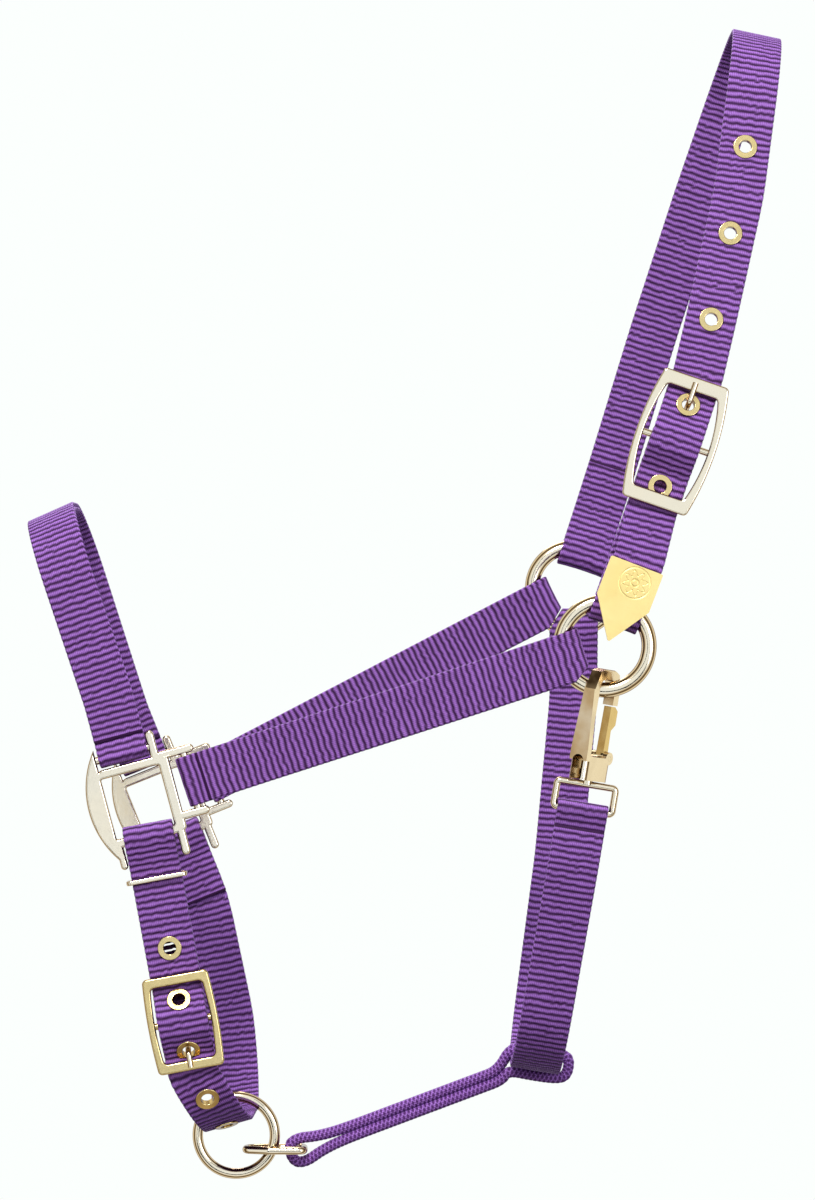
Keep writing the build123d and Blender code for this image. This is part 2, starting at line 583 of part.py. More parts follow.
with BuildPart() as snap_body:
    tip_x = SNAP_GAP / 2 + HOOK_TIP
    with BuildSketch(snap_plane):
        with BuildLine():
            Polyline((shank_x, -SNAP_BODY), (shank_x, -2), (shank_x + 4, HOOK_ROOM + HOOK_BAND - 1.5),
                     (shank_x + 8, HOOK_ROOM + HOOK_BAND), (tip_x - 7, HOOK_ROOM + HOOK_BAND),
                     (tip_x - 2.5, HOOK_ROOM + HOOK_BAND - 2), (tip_x, 0), (tip_x, -HOOK_MOUTH),
                     (tip_x, -SNAP_BODY), (shank_x, -SNAP_BODY))
        make_face()
        middle_z = (HOOK_ROOM - SNAP_BODY + FOOT_HEIGHT) / 2
        with Locations((0, middle_z)):
            RectangleRounded(SNAP_GAP, HOOK_ROOM + SNAP_BODY - FOOT_HEIGHT, 4.4, mode=Mode.SUBTRACT)
        with Locations((SNAP_GAP / 2 + HOOK_TIP / 2, (-HOOK_MOUTH + gate_z + 3) / 2 - 1)):
            Rectangle(HOOK_TIP + 2, -HOOK_MOUTH - gate_z - 3 + 2, mode=Mode.SUBTRACT)
    extrude(amount=SNAP_WIDTH / 2, both=True)
    with BuildSketch(foot_plane):
        with Locations(((shank_x + gate_x + 2.5) / 2, 0)):
            RectangleRounded(gate_x + 2.5 - shank_x, SNAP_FOOT, 3.5)
    extrude(amount=FOOT_HEIGHT)
    with BuildSketch(Plane(hook_at + snap_out * shank_x, x_dir=snap_edge, z_dir=snap_out)):
        with BuildLine():
            Polyline((-SNAP_WIDTH / 2, 0), (SNAP_WIDTH / 2, 0), (SNAP_FOOT / 2, -30), (SNAP_FOOT / 2, -36),
                     (-SNAP_FOOT / 2, -36), (-SNAP_FOOT / 2, -30), close=True)
        make_face()
    extrude(amount=3.4)
    fillet(snap_body.edges().filter_by(snap_plane).group_by(Axis(hook_at, snap_up))[-1], 1.0)
    with BuildSketch(foot_plane.offset(2.4)):
        Circle(CAVITY_R)
    extrude(amount=7.0, mode=Mode.SUBTRACT)
    with BuildSketch(foot_plane.offset(-1)):
        Circle(POST_R + 0.2)
    extrude(amount=8, mode=Mode.SUBTRACT)
    with BuildSketch(Plane(hook_at - snap_up * (SNAP_BODY + 1), x_dir=snap_edge, z_dir=snap_out)):
        with Locations((0, 6.4)):
            SlotOverall(14, 6.4, rotation=90)
    extrude(amount=shank_x - 1, mode=Mode.SUBTRACT)
    with BuildSketch(snap_plane.offset(-2.3)):
        with Locations((gate_x + 1.5, gate_z + 0.5)):
            Rectangle(9.5, 8.2)
    extrude(amount=4.6, mode=Mode.SUBTRACT)
    for side in (1, -1):
        with BuildSketch(snap_plane.offset(side * (SNAP_FOOT / 2 - 1.3))):
            with Locations((gate_x, gate_z)):
                Circle(3.2)
        extrude(amount=1.3, both=True)
    with BuildSketch(snap_plane.offset(-SNAP_FOOT / 2 - 1)):
        with Locations((gate_x, gate_z)):
            Circle(GATE_PIN_R + 0.05)
    extrude(amount=SNAP_FOOT + 2, mode=Mode.SUBTRACT)
snap_body.part.label = "snap_body"
export_step(snap_body.part, "parts/snap_body.step")

with BuildPart() as snap_gate:
    lever_top = -HOOK_MOUTH - 0.6
    with BuildSketch(snap_plane.offset(-2.1)):
        with Locations((gate_x, gate_z)):
            Circle(2.5)
        with BuildLine():
            Polyline((gate_x - 2.2, gate_z + 1), (gate_x - 1.6, lever_top), (gate_x + 2.2, lever_top),
                     (gate_x + 5, lever_top - 2), (gate_x + 5, lever_top - 9), (gate_x + 1.6, lever_top - 12),
                     (gate_x + 2.2, gate_z + 1), close=True)
        make_face()
    extrude(amount=4.2)
    with BuildSketch(snap_plane.offset(0.7)):
        with Locations((gate_x, gate_z)):
            Circle(3.4)
    extrude(amount=2, mode=Mode.SUBTRACT)
    with BuildSketch(snap_plane.offset(-3)):
        with Locations((gate_x, gate_z)):
            Circle(GATE_PIN_R + 0.1)
    extrude(amount=6, mode=Mode.SUBTRACT)
snap_gate.part.label = "snap_gate"
export_step(snap_gate.part, "parts/snap_gate.step")

with BuildPart() as snap_gate_pin:
    with BuildSketch(snap_plane.offset(-SNAP_FOOT / 2)):
        with Locations((gate_x, gate_z)):
            Circle(GATE_PIN_R)
    extrude(amount=SNAP_FOOT)
snap_gate_pin.part.label = "snap_gate_pin"
export_step(snap_gate_pin.part, "parts/snap_gate_pin.step")

with BuildPart() as snap_gate_spring:
    with BuildSketch(snap_plane.offset(0.9)):
        with Locations((gate_x, gate_z)):
            Circle(2.3)
            Circle(GATE_PIN_R + 0.15, mode=Mode.SUBTRACT)
    extrude(amount=1.1)
snap_gate_spring.part.label = "snap_gate_spring"
export_step(snap_gate_spring.part, "parts/snap_gate_spring.step")

with BuildPart() as snap_eye:
    half = EYE_WIDTH / 2 - EYE_BAR_R
    corners = [eye_at + snap_across * half, eye_low + snap_across * half,
               eye_low - snap_across * half, eye_at - snap_across * half]
    with BuildLine():
        FilletPolyline(*corners, radius=EYE_BAR_R + 0.1, close=True)
    eye_path = snap_eye.pending_edges_as_wire
    with BuildSketch(Plane(eye_path @ 0, z_dir=eye_path % 0)):
        Circle(EYE_BAR_R)
    sweep(path=eye_path)
    with BuildSketch(Plane(eye_at, z_dir=snap_up)):
        Circle(POST_R)
    extrude(amount=EYE_BAR_R + 0.4 + 3.0)
    with BuildSketch(foot_plane.offset(2.6)):
        Circle(CAVITY_R - 0.4)
    extrude(amount=2.6)
snap_eye.part.label = "snap_eye"
export_step(snap_eye.part, "parts/snap_eye.step")

# ---- chin strap ----
CHIN_LEAN = 10.5
chin_up = slope(90 + CHIN_LEAN)
chin_across = slope(CHIN_LEAN)
chin_front_y = -NOSE_DEPTH - (PLY + LAYER_GAP) / 2
chin_back_y = -NOSE_DEPTH + (PLY + LAYER_GAP) / 2
chin_reach = CHIN_BUCKLE / 2
CHIN_DROP = 94.6          # square's bottom bar down to the buckle's centre bar
chin_buckle_at = near_chin_bar - chin_up * CHIN_DROP
chin_buckle_at = Vector(chin_buckle_at.X, chin_front_y - SEATED_WEB, chin_buckle_at.Z)
chin_bar_at = on_buckle(chin_buckle_at, chin_up, 0, -BAR_SETBACK)
chin_lean_in = Vector(0, 0.385, 0)                # the end leads in behind the top bar
chin_centre_loop, chin_centre_neck = bar_loop(chin_bar_at, (chin_up + chin_lean_in).normalized(),
                                              chin_across, BAR_R)


def below_bar(distance, y):
    """Point on the chin strap's line below the square's bottom bar."""
    place = near_chin_bar - chin_up * distance
    return Vector(place.X, y, place.Z)


wrap = RAIL_REACH + WRAP_PLAY + FIT + PLY / 2
chin_web_bottom = CHIN_BOTTOM + Vector(0, 0, PLY / 2)
off_chin_away = slope(OFF_TILT - 90)
off_chin_across = slope(OFF_TILT)
off_chin_loop, off_chin_neck = bar_loop(off_chin_bar, off_chin_away, off_chin_across, RAIL_REACH)
off_chin_ply = Vector(0, PLY / 2, 0)
chin_points = [chin_centre_neck, below_bar(CHIN_DROP - chin_reach - 6, chin_back_y),
               below_bar(17, chin_back_y), below_bar(2, -NOSE_DEPTH + wrap),
               below_bar(-wrap, -NOSE_DEPTH + wrap), below_bar(-wrap, -NOSE_DEPTH - wrap),
               below_bar(2, -NOSE_DEPTH - wrap), below_bar(16, chin_front_y)]
chin_points += over_buckle(chin_buckle_at, chin_up, chin_reach, 8, 8)[::-1]
chin_points += [chin_web_bottom + Vector(-1.4, -CHIN_DEPTH, 0), chin_web_bottom + Vector(1.4, CHIN_DEPTH, 0),
                Vector(-270.5, 51, -506), off_chin_neck + off_chin_away * 24 + off_chin_ply,
                off_chin_neck + off_chin_ply]
chin_faces = [chin_across] * 14 + [slope(15.8), slope(15.8), slope(14), off_chin_across, off_chin_across]
chin_radii = [20, 30, 8, wrap - 0.05, wrap - 0.05, 8, 30, 8, 6, 5, 5, 6, 20, 34, 34, 120, 120]
chin_stations = route(chin_points, chin_radii, chin_faces)
chin_run = ribbon(chin_stations, PLY)
off_chin_lap = ribbon([(off_chin_neck, off_chin_away, off_chin_across),
                       (off_chin_neck + off_chin_away * 22, off_chin_away, off_chin_across)], 2 * PLY)
CHIN_TONGUE_HOLE = 14.0   # eyelet in use, below the centre bar
chin_hole_at = distance_to(chin_stations, chin_buckle_at - chin_up * CHIN_TONGUE_HOLE, chin_up * -1)
chin_holes = [station_at(chin_stations, chin_hole_at + CHIN_EYELET_PITCH * step)
              for step in range(-2, EYELETS - 2)]
chin_eyelet_parts = [eyelet(*hole, PLY) for hole in chin_holes]
chin_hole_parts = [eyelet_hole(*hole) for hole in chin_holes]
chin_slot = tongue_slot(chin_buckle_at, chin_up * -1, chin_across)
with BuildPart() as chin_strap:
    add(chin_run)
    add(chin_centre_loop)
    add(off_chin_lap)
    add(off_chin_loop)
    add(chin_hole_parts, mode=Mode.SUBTRACT)
    add(chin_slot, mode=Mode.SUBTRACT)
chin_strap.part.label = "chin_strap"
export_step(chin_strap.part, "parts/chin_strap.step")
with BuildPart() as chin_eyelets:
    add(chin_eyelet_parts)
chin_eyelets.part.label = "chin_eyelets"
export_step(chin_eyelets.part, "parts/chin_eyelets.step")

chin_frame = buckle_frame(chin_buckle_at, chin_up, chin_across, CHIN_BUCKLE,
                          CHIN_BUCKLE_BELLY, CHIN_END_BAR)
chin_frame.label = "chin_buckle_frame"
export_step(chin_frame, "parts/chin_buckle_frame.step")
chin_tongue = buckle_tongue(chin_buckle_at, chin_up * -1, chin_across, CHIN_TONGUE_HOLE,
                            chin_reach - CHIN_END_BAR / 2)
chin_tongue.label = "chin_buckle_tongue"
export_step(chin_tongue, "parts/chin_buckle_tongue.step")

KEEPER_DROP = 21.5        # square's bottom bar down to the keeper
with BuildPart() as chin_keeper:
    with BuildSketch(Plane(below_bar(KEEPER_DROP, -NOSE_DEPTH), x_dir=chin_across, z_dir=chin_up)):
        layers = 2 * PLY + LAYER_GAP + 2 * FIT
        RectangleRounded(WEB_WIDTH + 2 * FIT + 2 * KEEPER_BAR, layers + 2 * KEEPER_BAR, 2.2)
        Rectangle(WEB_WIDTH + 2 * FIT, layers, mode=Mode.SUBTRACT)
    extrude(amount=KEEPER_BAR / 2, both=True)
    fillet(chin_keeper.edges().filter_by(GeomType.LINE).filter_by(Axis(ORIGIN, chin_across)), 0.7)
chin_keeper.part.label = "chin_keeper"
export_step(chin_keeper.part, "parts/chin_keeper.step")

# ---- chin ring ----
chin_ring_at = chin_web_bottom - slope(105.8) * 8.9
chin_ring = wire_ring(chin_ring_at, CHIN_RING_R, CHIN_WIRE_R)
chin_ring.label = "chin_ring"
export_step(chin_ring, "parts/chin_ring.step")

# ---- connector and its clip ----
clip_end = Vector(-230.5, 0, -568.5)       # bar of the clip that the cord goes round
clip_half = CLIP_WIDTH / 2 - CLIP_R
with BuildPart() as connector_clip:
    reach = CLIP_LENGTH - 2 * CLIP_R
    outline = [(0, -clip_half), (0, clip_half), (-reach * 0.6, clip_half), (-reach, clip_half * 0.45),
               (-reach, -clip_half * 0.45), (-reach * 0.6, -clip_half)]
    with BuildLine():
        FilletPolyline(*[clip_end + Vector(x, y, 0) for x, y in outline], radius=2.8, close=True)
    clip_path = connector_clip.pending_edges_as_wire
    with BuildSketch(Plane(clip_path @ 0, z_dir=clip_path % 0)):
        Circle(CLIP_R)
    sweep(path=clip_path)
connector_clip.part.label = "connector_clip"
export_step(connector_clip.part, "parts/connector_clip.step")

CLIP_EYE = CLIP_R + FIT + 2 * CORD_R      # outside of the cord's turn round the clip
cord_line = (clip_end - throat_low).normalized()
cord_length = (clip_end - throat_low).length
throat_plane = Plane(throat_low, x_dir=slope(-9.5), z_dir=(0, -1, 0))
clip_plane = Plane(clip_end, x_dir=(1, 0, 0), z_dir=(0, -1, 0))
with BuildPart() as throat_connector:
    with BuildSketch(throat_plane):
        RectangleRounded(2 * (HALF_WEB + FIT + 2 * CORD_R), 2 * (PLY + FIT + 2 * CORD_R), 5)
    extrude(amount=CORD_R, both=True)
    with BuildSketch(clip_plane):
        Circle(CLIP_EYE)
    extrude(amount=CORD_R, both=True)
    with BuildSketch(Plane(throat_low + cord_line * HALF_WEB, x_dir=(0, 1, 0), z_dir=cord_line)):
        RectangleRounded(2 * CORD_R, CORD_LEGS + 2 * CORD_R, CORD_R * 0.96)
    extrude(amount=cord_length - HALF_WEB)
    with BuildSketch(throat_plane):
        RectangleRounded(2 * (HALF_WEB + FIT), 2 * (PLY + FIT), 0.4)
    extrude(amount=2 * CORD_R, both=True, mode=Mode.SUBTRACT)
    with BuildSketch(clip_plane):
        Circle(CLIP_R + FIT)
    extrude(amount=2 * CORD_R, both=True, mode=Mode.SUBTRACT)
throat_connector.part.label = "throat_connector"
export_step(throat_connector.part, "parts/throat_connector.step")
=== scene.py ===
"""Head halter of ribbed webbing with cast and wire hardware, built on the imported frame.

Lengths are millimetres until a mesh is made: +X to the back of the head, +Z up, -Y the near
side. Straps are meshes of ribbed webbing; the hardware keeps the frame's own meshes.
"""
import math

import bpy
import numpy as np
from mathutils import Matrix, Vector


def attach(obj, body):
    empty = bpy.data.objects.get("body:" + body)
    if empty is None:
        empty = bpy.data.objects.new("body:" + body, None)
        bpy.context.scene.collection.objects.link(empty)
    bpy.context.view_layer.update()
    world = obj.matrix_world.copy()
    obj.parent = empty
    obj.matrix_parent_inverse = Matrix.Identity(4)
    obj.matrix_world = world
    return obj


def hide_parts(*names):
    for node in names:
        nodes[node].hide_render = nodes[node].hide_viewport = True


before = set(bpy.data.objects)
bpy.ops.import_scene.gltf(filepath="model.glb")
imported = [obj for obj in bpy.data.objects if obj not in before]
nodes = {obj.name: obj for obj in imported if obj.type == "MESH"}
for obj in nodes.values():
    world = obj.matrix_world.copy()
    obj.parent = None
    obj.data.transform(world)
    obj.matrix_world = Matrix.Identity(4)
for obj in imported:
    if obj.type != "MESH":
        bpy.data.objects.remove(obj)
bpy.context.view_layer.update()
MM = 0.001

# ---- sizes, mm ----
HALF_WEB = 12.7
RIB_PITCH = 3.2
RIB_DEPTH = 0.75
STEP = RIB_PITCH / 7      # spacing of the rows of a strap's mesh
PLY = 2.3                 # one layer of a doubled strap
SINGLE = 2.5              # a strap of one layer
HALF_SINGLE = SINGLE / 2
LAYER = 1.3               # middle of each layer of a doubled strap from its centre
FIT = 0.3                 # webbing to hardware
NOSE_CUT = 8.5            # cut end of an outer layer from the bar of its loop
CHEEK_CUT = 6.2
EYE_CUT = 9.0
RING_R = 22.0             # cheek rings, to the middle of the wire
WIRE_R = 3.8
RING_NECK = 20.0          # wire of a ring to the end of the strap's turn
RING_REACH = 5.2          # straight part of a turn round a ring
RING_BOW = 0.12           # share of the wire's curve that a turn takes up
LOOP_BAR_R = 2.0          # squares' bars inside the strap loops
BUCKLE_BAR_R = 1.7        # centre bars of the buckles, and the bar of the snap's eye
RAIL_REACH = 2.9          # bottom bar of a square, to its farthest corner
WRAP = 5.45               # bottom bar's middle to the chin strap that slides round it
SEATED = 3.75             # middle of a buckle to a strap behind its end bars
OVER_BAR = 3.45           # middle of a buckle to a strap over its centre bar
BAR_SETBACK = 2.6         # middle of a buckle back to its centre bar
BAR_NECK = 13.75          # bar to the end of the strap's loop round it
BUCKLE_TURN = (0.6, 11)   # straight part and end of a turn round a buckle's centre bar
ARC_GAP = 0.05            # keeps two arcs of one turn apart
HOLE_R = 4.2              # eyelet holes in the straps
CUTTER_LONG = 9.0         # through the strap at any lean
EYELET_SPAN = 14.0        # more than an eyelet's width, less than the gap to the next
CORD_R = 2.9
LEG = 2.65                # middle of each sewn leg from the cord's middle

# unevenness of the ribs: along the strap, across it, and in height
SWAY, DRIFT, SWELL = 0.10, 0.075, 0.05
EDGE_DIP = 0.28           # how far an edge draws in between two ribs
BACK_SHIFT = 40           # shift of the yarns on a strap's back
CUT_SHADE = 0.08          # painted shadow: tone left on the rows at a cut end, dark like the shadow under a layer's end

rng = np.random.default_rng(7)


def vec(*values):
    return np.array(values, dtype=float)


def unit(v):
    return v / np.linalg.norm(v)


def slope(angle):
    """Unit vector in the side view, at an angle in degrees above +X."""
    return vec(math.cos(math.radians(angle)), 0, math.sin(math.radians(angle)))


UP = vec(0, 0, 1)
NEAR = vec(0, -1, 0)
OFF = vec(0, 1, 0)


# ---- lines: arrays of places, directions across, and shares of a ring's bow ----
def line(points, radii, faces):
    """Straight runs joined by arcs."""
    places, across = [points[0]], [faces[0]]
    corners = zip(points, points[1:], points[2:], radii, faces[1:])
    for before, corner, after, radius, face in corners:
        inward, outward = unit(corner - before), unit(after - corner)
        turn = math.acos(np.clip(inward @ outward, -1, 1))
        if turn < 1e-3:
            places.append(corner)
            across.append(face)
            continue
        start = corner - inward * radius * math.tan(turn / 2)
        pole = unit(np.cross(inward, outward))
        arm = np.cross(inward, pole) * radius
        for angle in np.linspace(0, turn, max(3, math.ceil(math.degrees(turn) / 5))):
            swung = arm * math.cos(angle) + np.cross(pole, arm) * math.sin(angle)
            places.append(start - arm + swung)
            across.append(face)
    places.append(points[-1])
    across.append(faces[-1])
    places, across = np.array(places), np.array(across)
    return places, across, np.zeros_like(places)


def spaced(strand, step):
    """The line with its places at an even spacing."""
    places, across, bow = strand
    keep = np.append(True, np.linalg.norm(np.diff(places, axis=0), axis=1) > 0.02)
    places, across, bow = places[keep], across[keep], bow[keep]
    travel = np.append(0, np.cumsum(np.linalg.norm(np.diff(places, axis=0), axis=1)))
    marks = np.linspace(0, travel[-1], max(3, round(travel[-1] / step) + 1))
    return [np.stack([np.interp(marks, travel, values[:, i]) for i in range(3)], axis=1)
            for values in (places, across, bow)]


def frames(places, across):
    """Across and normal directions, square to the line."""
    heading = np.gradient(places, axis=0)
    heading /= np.linalg.norm(heading, axis=1)[:, None]
    across = across - heading * np.sum(across * heading, axis=1)[:, None]
    across /= np.linalg.norm(across, axis=1)[:, None]
    return across, np.cross(across, heading)


def shifted(strand, amount):
    """The line moved along its own normal."""
    places, across, bow = spaced(strand, 1.0)
    normal = frames(places, across)[1]
    return places + normal * amount, across, bow


def backwards(strand):
    return [values[::-1] for values in strand]


def chain(*strands):
    return [np.concatenate([strand[i] for strand in strands]) for i in range(3)]


def turn_round(centre, away, out, radius, reach, neck, front, back, face, bowed=0.0):
    """Line down the front side of a bar, round it and up the back side."""
    corners = [(neck, front), (reach, radius), (-radius, radius),
               (-radius, -radius), (reach, -radius), (neck, back)]
    points = [centre + away * along + out * over for along, over in corners]
    tight = radius - ARC_GAP
    places, across, bow = spaced(line(points, [10, tight, tight, 10], [face] * 6), 0.4)
    if bowed:
        share = np.clip((neck - (places - centre) @ away) / (neck - reach), 0, 1)
        bow = -away * (bowed * share * share * (3 - 2 * share))[:, None]
    return places, across, bow


# ---- webbing ----
# places across a strap, as shares of its half width, and the share of its thickness there
COLUMNS = np.concatenate([[-1, -0.985, -0.95], np.linspace(-0.9, 0.9, 13), [0.95, 0.985, 1]])
EDGE = np.clip((1 - np.abs(COLUMNS)) / 0.06, 0, 1)
EDGE = np.sqrt(EDGE * (2 - EDGE))


def soft_noise(rows, columns, grain):
    """Smooth random field, `grain` rows long."""
    coarse = rng.normal(size=(rows // grain + 3, columns))
    marks = np.arange(rows) / grain
    low = marks.astype(int)
    part = (marks - low)[:, None]
    part = part * part * (3 - 2 * part)
    return coarse[low] * (1 - part) + coarse[low + 1] * part


def band(strand, thickness):
    """Vertices, faces, UV marks and rib height of one ribbed layer; the rib height also sets
    painted shade in the valleys and, dimmed, at the cut ends.
    """
    places, across, bow = spaced(strand, STEP)
    across, normal = frames(places, across)
    count, width = len(places), len(COLUMNS)
    travel = np.arange(count) * STEP
    sway = soft_noise(count, 1, 60) * SWAY
    drift = soft_noise(count, width, 9) * DRIFT + sway
    phase = np.mod(travel[:, None] / RIB_PITCH + drift, 1.0)
    rib = np.sqrt(np.clip(1 - (2 * phase - 1) ** 2, 0, 1))
    swell = 1 + soft_noise(count, width, 5) * SWELL
    flank = HALF_WEB + (rib[:, :1] - 1) * EDGE_DIP
    sag = RING_R - np.sqrt(RING_R ** 2 - (COLUMNS * HALF_WEB) ** 2)
    rows, marks, ribs = [], [], []
    for side in (1, -1):
        order = slice(None) if side == 1 else slice(-2, 0, -1)
        height = (thickness / 2 - RIB_DEPTH * (1 - rib) * swell) * EDGE * side
        wide = COLUMNS[None, :, None] * flank[:, :, None] * across[:, None, :]
        body = places[:, None, :] + wide + height[:, :, None] * normal[:, None, :]
        body = body + bow[:, None, :] * sag[None, :, None]
        rows.append(body[:, order])
        yarn_mark = COLUMNS * HALF_WEB + side * BACK_SHIFT
        marks.append(np.broadcast_to(yarn_mark, rib.shape)[:, order])
        ribs.append(rib[:, order])
    ring = np.concatenate(rows, axis=1)
    cross_mark = np.concatenate(marks, axis=1)
    rib_mark = np.concatenate(ribs, axis=1)
    # painted shadow along each cut end: the first and last rows darken in the material
    rib_mark[[0, 1, 2, -3, -2, -1]] *= CUT_SHADE
    size = ring.shape[1]
    index = np.arange(count * size).reshape(count, size)
    right = np.roll(index, -1, axis=1)
    quads = np.stack([index[:-1], index[1:], right[1:], right[:-1]], axis=-1).reshape(-1, 4)
    caps = []
    for row, turned in ((index[0], 1), (index[-1], -1)):
        for i in range(width - 1):
            face = [row[i], row[i + 1], row[size - i - 1], row[(size - i) % size]]
            face = list(dict.fromkeys(face))
            if len(face) > 2:
                caps.append(face[::turned])
    travel_mark = np.broadcast_to(travel[:, None], cross_mark.shape)
    uv = np.stack([cross_mark, travel_mark], axis=-1) / 100
    return ring.reshape(-1, 3), quads.tolist() + caps, uv.reshape(-1, 2), rib_mark.reshape(-1)


CORNER_LONG, CORNER_WIDE, CORNER_ROOM = 42, 21, 0.4


def mitred(made, ring, angle, side):
    """The band with its corner pressed back to a plane through the ring's middle."""
    verts = made[0]
    along = slope(angle)
    beside = vec(-along[2], 0, along[0]) * side
    ahead, over = (verts - ring) @ along, (verts - ring) @ beside + CORNER_ROOM
    inside = (ahead > 0) & (ahead < CORNER_LONG) & (over > 0) & (over < CORNER_WIDE)
    pressed = np.where(inside, over, 0)
    return (verts - pressed[:, None] * beside, *made[1:])


def piece(name, bands, material, replaced):
    """One object of several bands on the halter's body, standing for its CAD node."""
    verts, faces, uvs, ribs, base = [], [], [], [], 0
    for band_verts, band_faces, band_uvs, band_ribs in bands:
        verts.append(band_verts)
        faces += [[base + i for i in face] for face in band_faces]
        uvs.append(band_uvs)
        ribs.append(band_ribs)
        base += len(band_verts)
    mesh = bpy.data.meshes.new(name)
    mesh.from_pydata((np.concatenate(verts) * MM).tolist(), [], faces)
    mesh.update()
    corner = np.empty(len(mesh.loops), dtype=np.int32)
    mesh.loops.foreach_get("vertex_index", corner)
    layer = mesh.uv_layers.new(name="UVMap")
    layer.data.foreach_set("uv", np.concatenate(uvs)[corner].astype(np.float32).ravel())
    # the rib attribute is the mask for the material's painted shade in rib valleys and at cut ends
    rib_layer = mesh.attributes.new("rib", "FLOAT", "POINT")
    rib_layer.data.foreach_set("value", np.concatenate(ribs).astype(np.float32))
    mesh.polygons.foreach_set("use_smooth", [True] * len(mesh.polygons))
    mesh.materials.append(material)
    obj = bpy.data.objects.new(name, mesh)
    bpy.context.scene.collection.objects.link(obj)
    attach(obj, "halter")
    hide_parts(replaced)
    return obj


# ---- shader groups and materials ----
def new_group(name, inputs, outputs):
    group = bpy.data.node_groups.new(name, "ShaderNodeTree")
    for label, kind, value in inputs:
        item = group.interface.new_socket(label, in_out="INPUT", socket_type=kind)
        if value is not None:
            item.default_value = value
    for label, kind in outputs:
        group.interface.new_socket(label, in_out="OUTPUT", socket_type=kind)
    return group, group.nodes.new("NodeGroupInput"), group.nodes.new("NodeGroupOutput")


def math_node(tree, operation, *values, clamp=False):
    node = tree.nodes.new("ShaderNodeMath")
    node.operation = operation
    node.use_clamp = clamp
    for slot_index, value in enumerate(values):
        if isinstance(value, (int, float)):
            node.inputs[slot_index].default_value = value
        else:
            tree.links.new(value, node.inputs[slot_index])
    return node.outputs[0]


def noise_node(tree, vector, scale, detail):
    node = tree.nodes.new("ShaderNodeTexNoise")
    node.inputs["Scale"].default_value = scale
    node.inputs["Detail"].default_value = detail
    tree.links.new(vector, node.inputs["Vector"])
    return node.outputs["Fac"]


def mix_colour(tree, factor, first, second, blend="MIX"):
    node = tree.nodes.new("ShaderNodeMix")
    node.data_type = "RGBA"
    node.blend_type = blend
    for socket, value in (("Factor_Float", factor), ("A_Color", first), ("B_Color", second)):
        target = next(s for s in node.inputs if s.identifier == socket)
        if isinstance(value, (int, float)):
            target.default_value = value
        elif isinstance(value, tuple):
            target.default_value = (*value, 1)
        else:
            tree.links.new(value, target)
    return next(s for s in node.outputs if s.identifier == "Result_Color")


# yarns running lengthwise in each rib: a tone and a height; the tone also holds painted shade, dark
# in the valleys between the ribs
weave, weave_in, weave_out = new_group(
    "weave", [("UV", "NodeSocketVector", None), ("Rib", "NodeSocketFloat", 1.0)],
    [("Tone", "NodeSocketFloat"), ("Height", "NodeSocketFloat")])
parts = weave.nodes.new("ShaderNodeSeparateXYZ")
weave.links.new(weave_in.outputs["UV"], parts.inputs[0])
grain_noise = noise_node(weave, weave_in.outputs["UV"], 260.0, 3.0)
broad_noise = noise_node(weave, weave_in.outputs["UV"], 12.0, 2.0)
wobble = math_node(weave, "MULTIPLY", grain_noise, 2.2)
YARN_PITCH = 0.95 / 100   # the UV map runs in tenths of a metre
yarn_angle = math_node(weave, "MULTIPLY_ADD", parts.outputs["X"], 2 * math.pi / YARN_PITCH, wobble)
yarn = math_node(weave, "MULTIPLY_ADD", math_node(weave, "SINE", yarn_angle), 0.5, 0.5)
# painted shade: the tone falls towards the valley colour between the ribs
rib_shading = math_node(weave, "POWER", weave_in.outputs["Rib"], 4.5)
speckled = math_node(weave, "MULTIPLY_ADD", grain_noise, 1.5, 0.22)
yarn_tone = math_node(weave, "MULTIPLY_ADD", yarn, 0.50, 0.62)
broad_tone = math_node(weave, "MULTIPLY_ADD", broad_noise, 0.5, 0.75)
toned = math_node(weave, "MULTIPLY", rib_shading, speckled)
toned = math_node(weave, "MULTIPLY", toned, yarn_tone)
toned = math_node(weave, "MULTIPLY", toned, broad_tone, clamp=True)
weave.links.new(toned, weave_out.inputs["Tone"])
lifted = math_node(weave, "MULTIPLY_ADD", grain_noise, 0.8, yarn)
weave.links.new(lifted, weave_out.inputs["Height"])

# uneven polish of metal: a tone, a roughness share and a height; the tone also wavers the painted
# reflection bands
polish, polish_in, polish_out = new_group(
    "polish", [("Vector", "NodeSocketVector", None), ("Scale", "NodeSocketFloat", 1.0)],
    [("Tone", "NodeSocketFloat"), ("Rough", "NodeSocketFloat"), ("Height", "NodeSocketFloat")])
stretch = polish.nodes.new("ShaderNodeVectorMath")
stretch.operation = "SCALE"
polish.links.new(polish_in.outputs["Vector"], stretch.inputs[0])
polish.links.new(polish_in.outputs["Scale"], stretch.inputs["Scale"])
for label, scale, detail in (("Tone", 60.0, 3.0), ("Rough", 350.0, 4.0), ("Height", 900.0, 3.0)):
    spots = noise_node(polish, stretch.outputs[0], scale, detail)
    polish.links.new(spots, polish_out.inputs[label])


def principled(name):
    material = bpy.data.materials.new(name)
    material.use_nodes = True
    tree = material.node_tree
    return material, tree, next(n for n in tree.nodes if n.type == "BSDF_PRINCIPLED")


def bump(tree, shader, height, strength, distance):
    node = tree.nodes.new("ShaderNodeBump")
    node.inputs["Strength"].default_value = strength
    node.inputs["Distance"].default_value = distance
    tree.links.new(height, node.inputs["Height"])
    tree.links.new(node.outputs["Normal"], shader.inputs["Normal"])


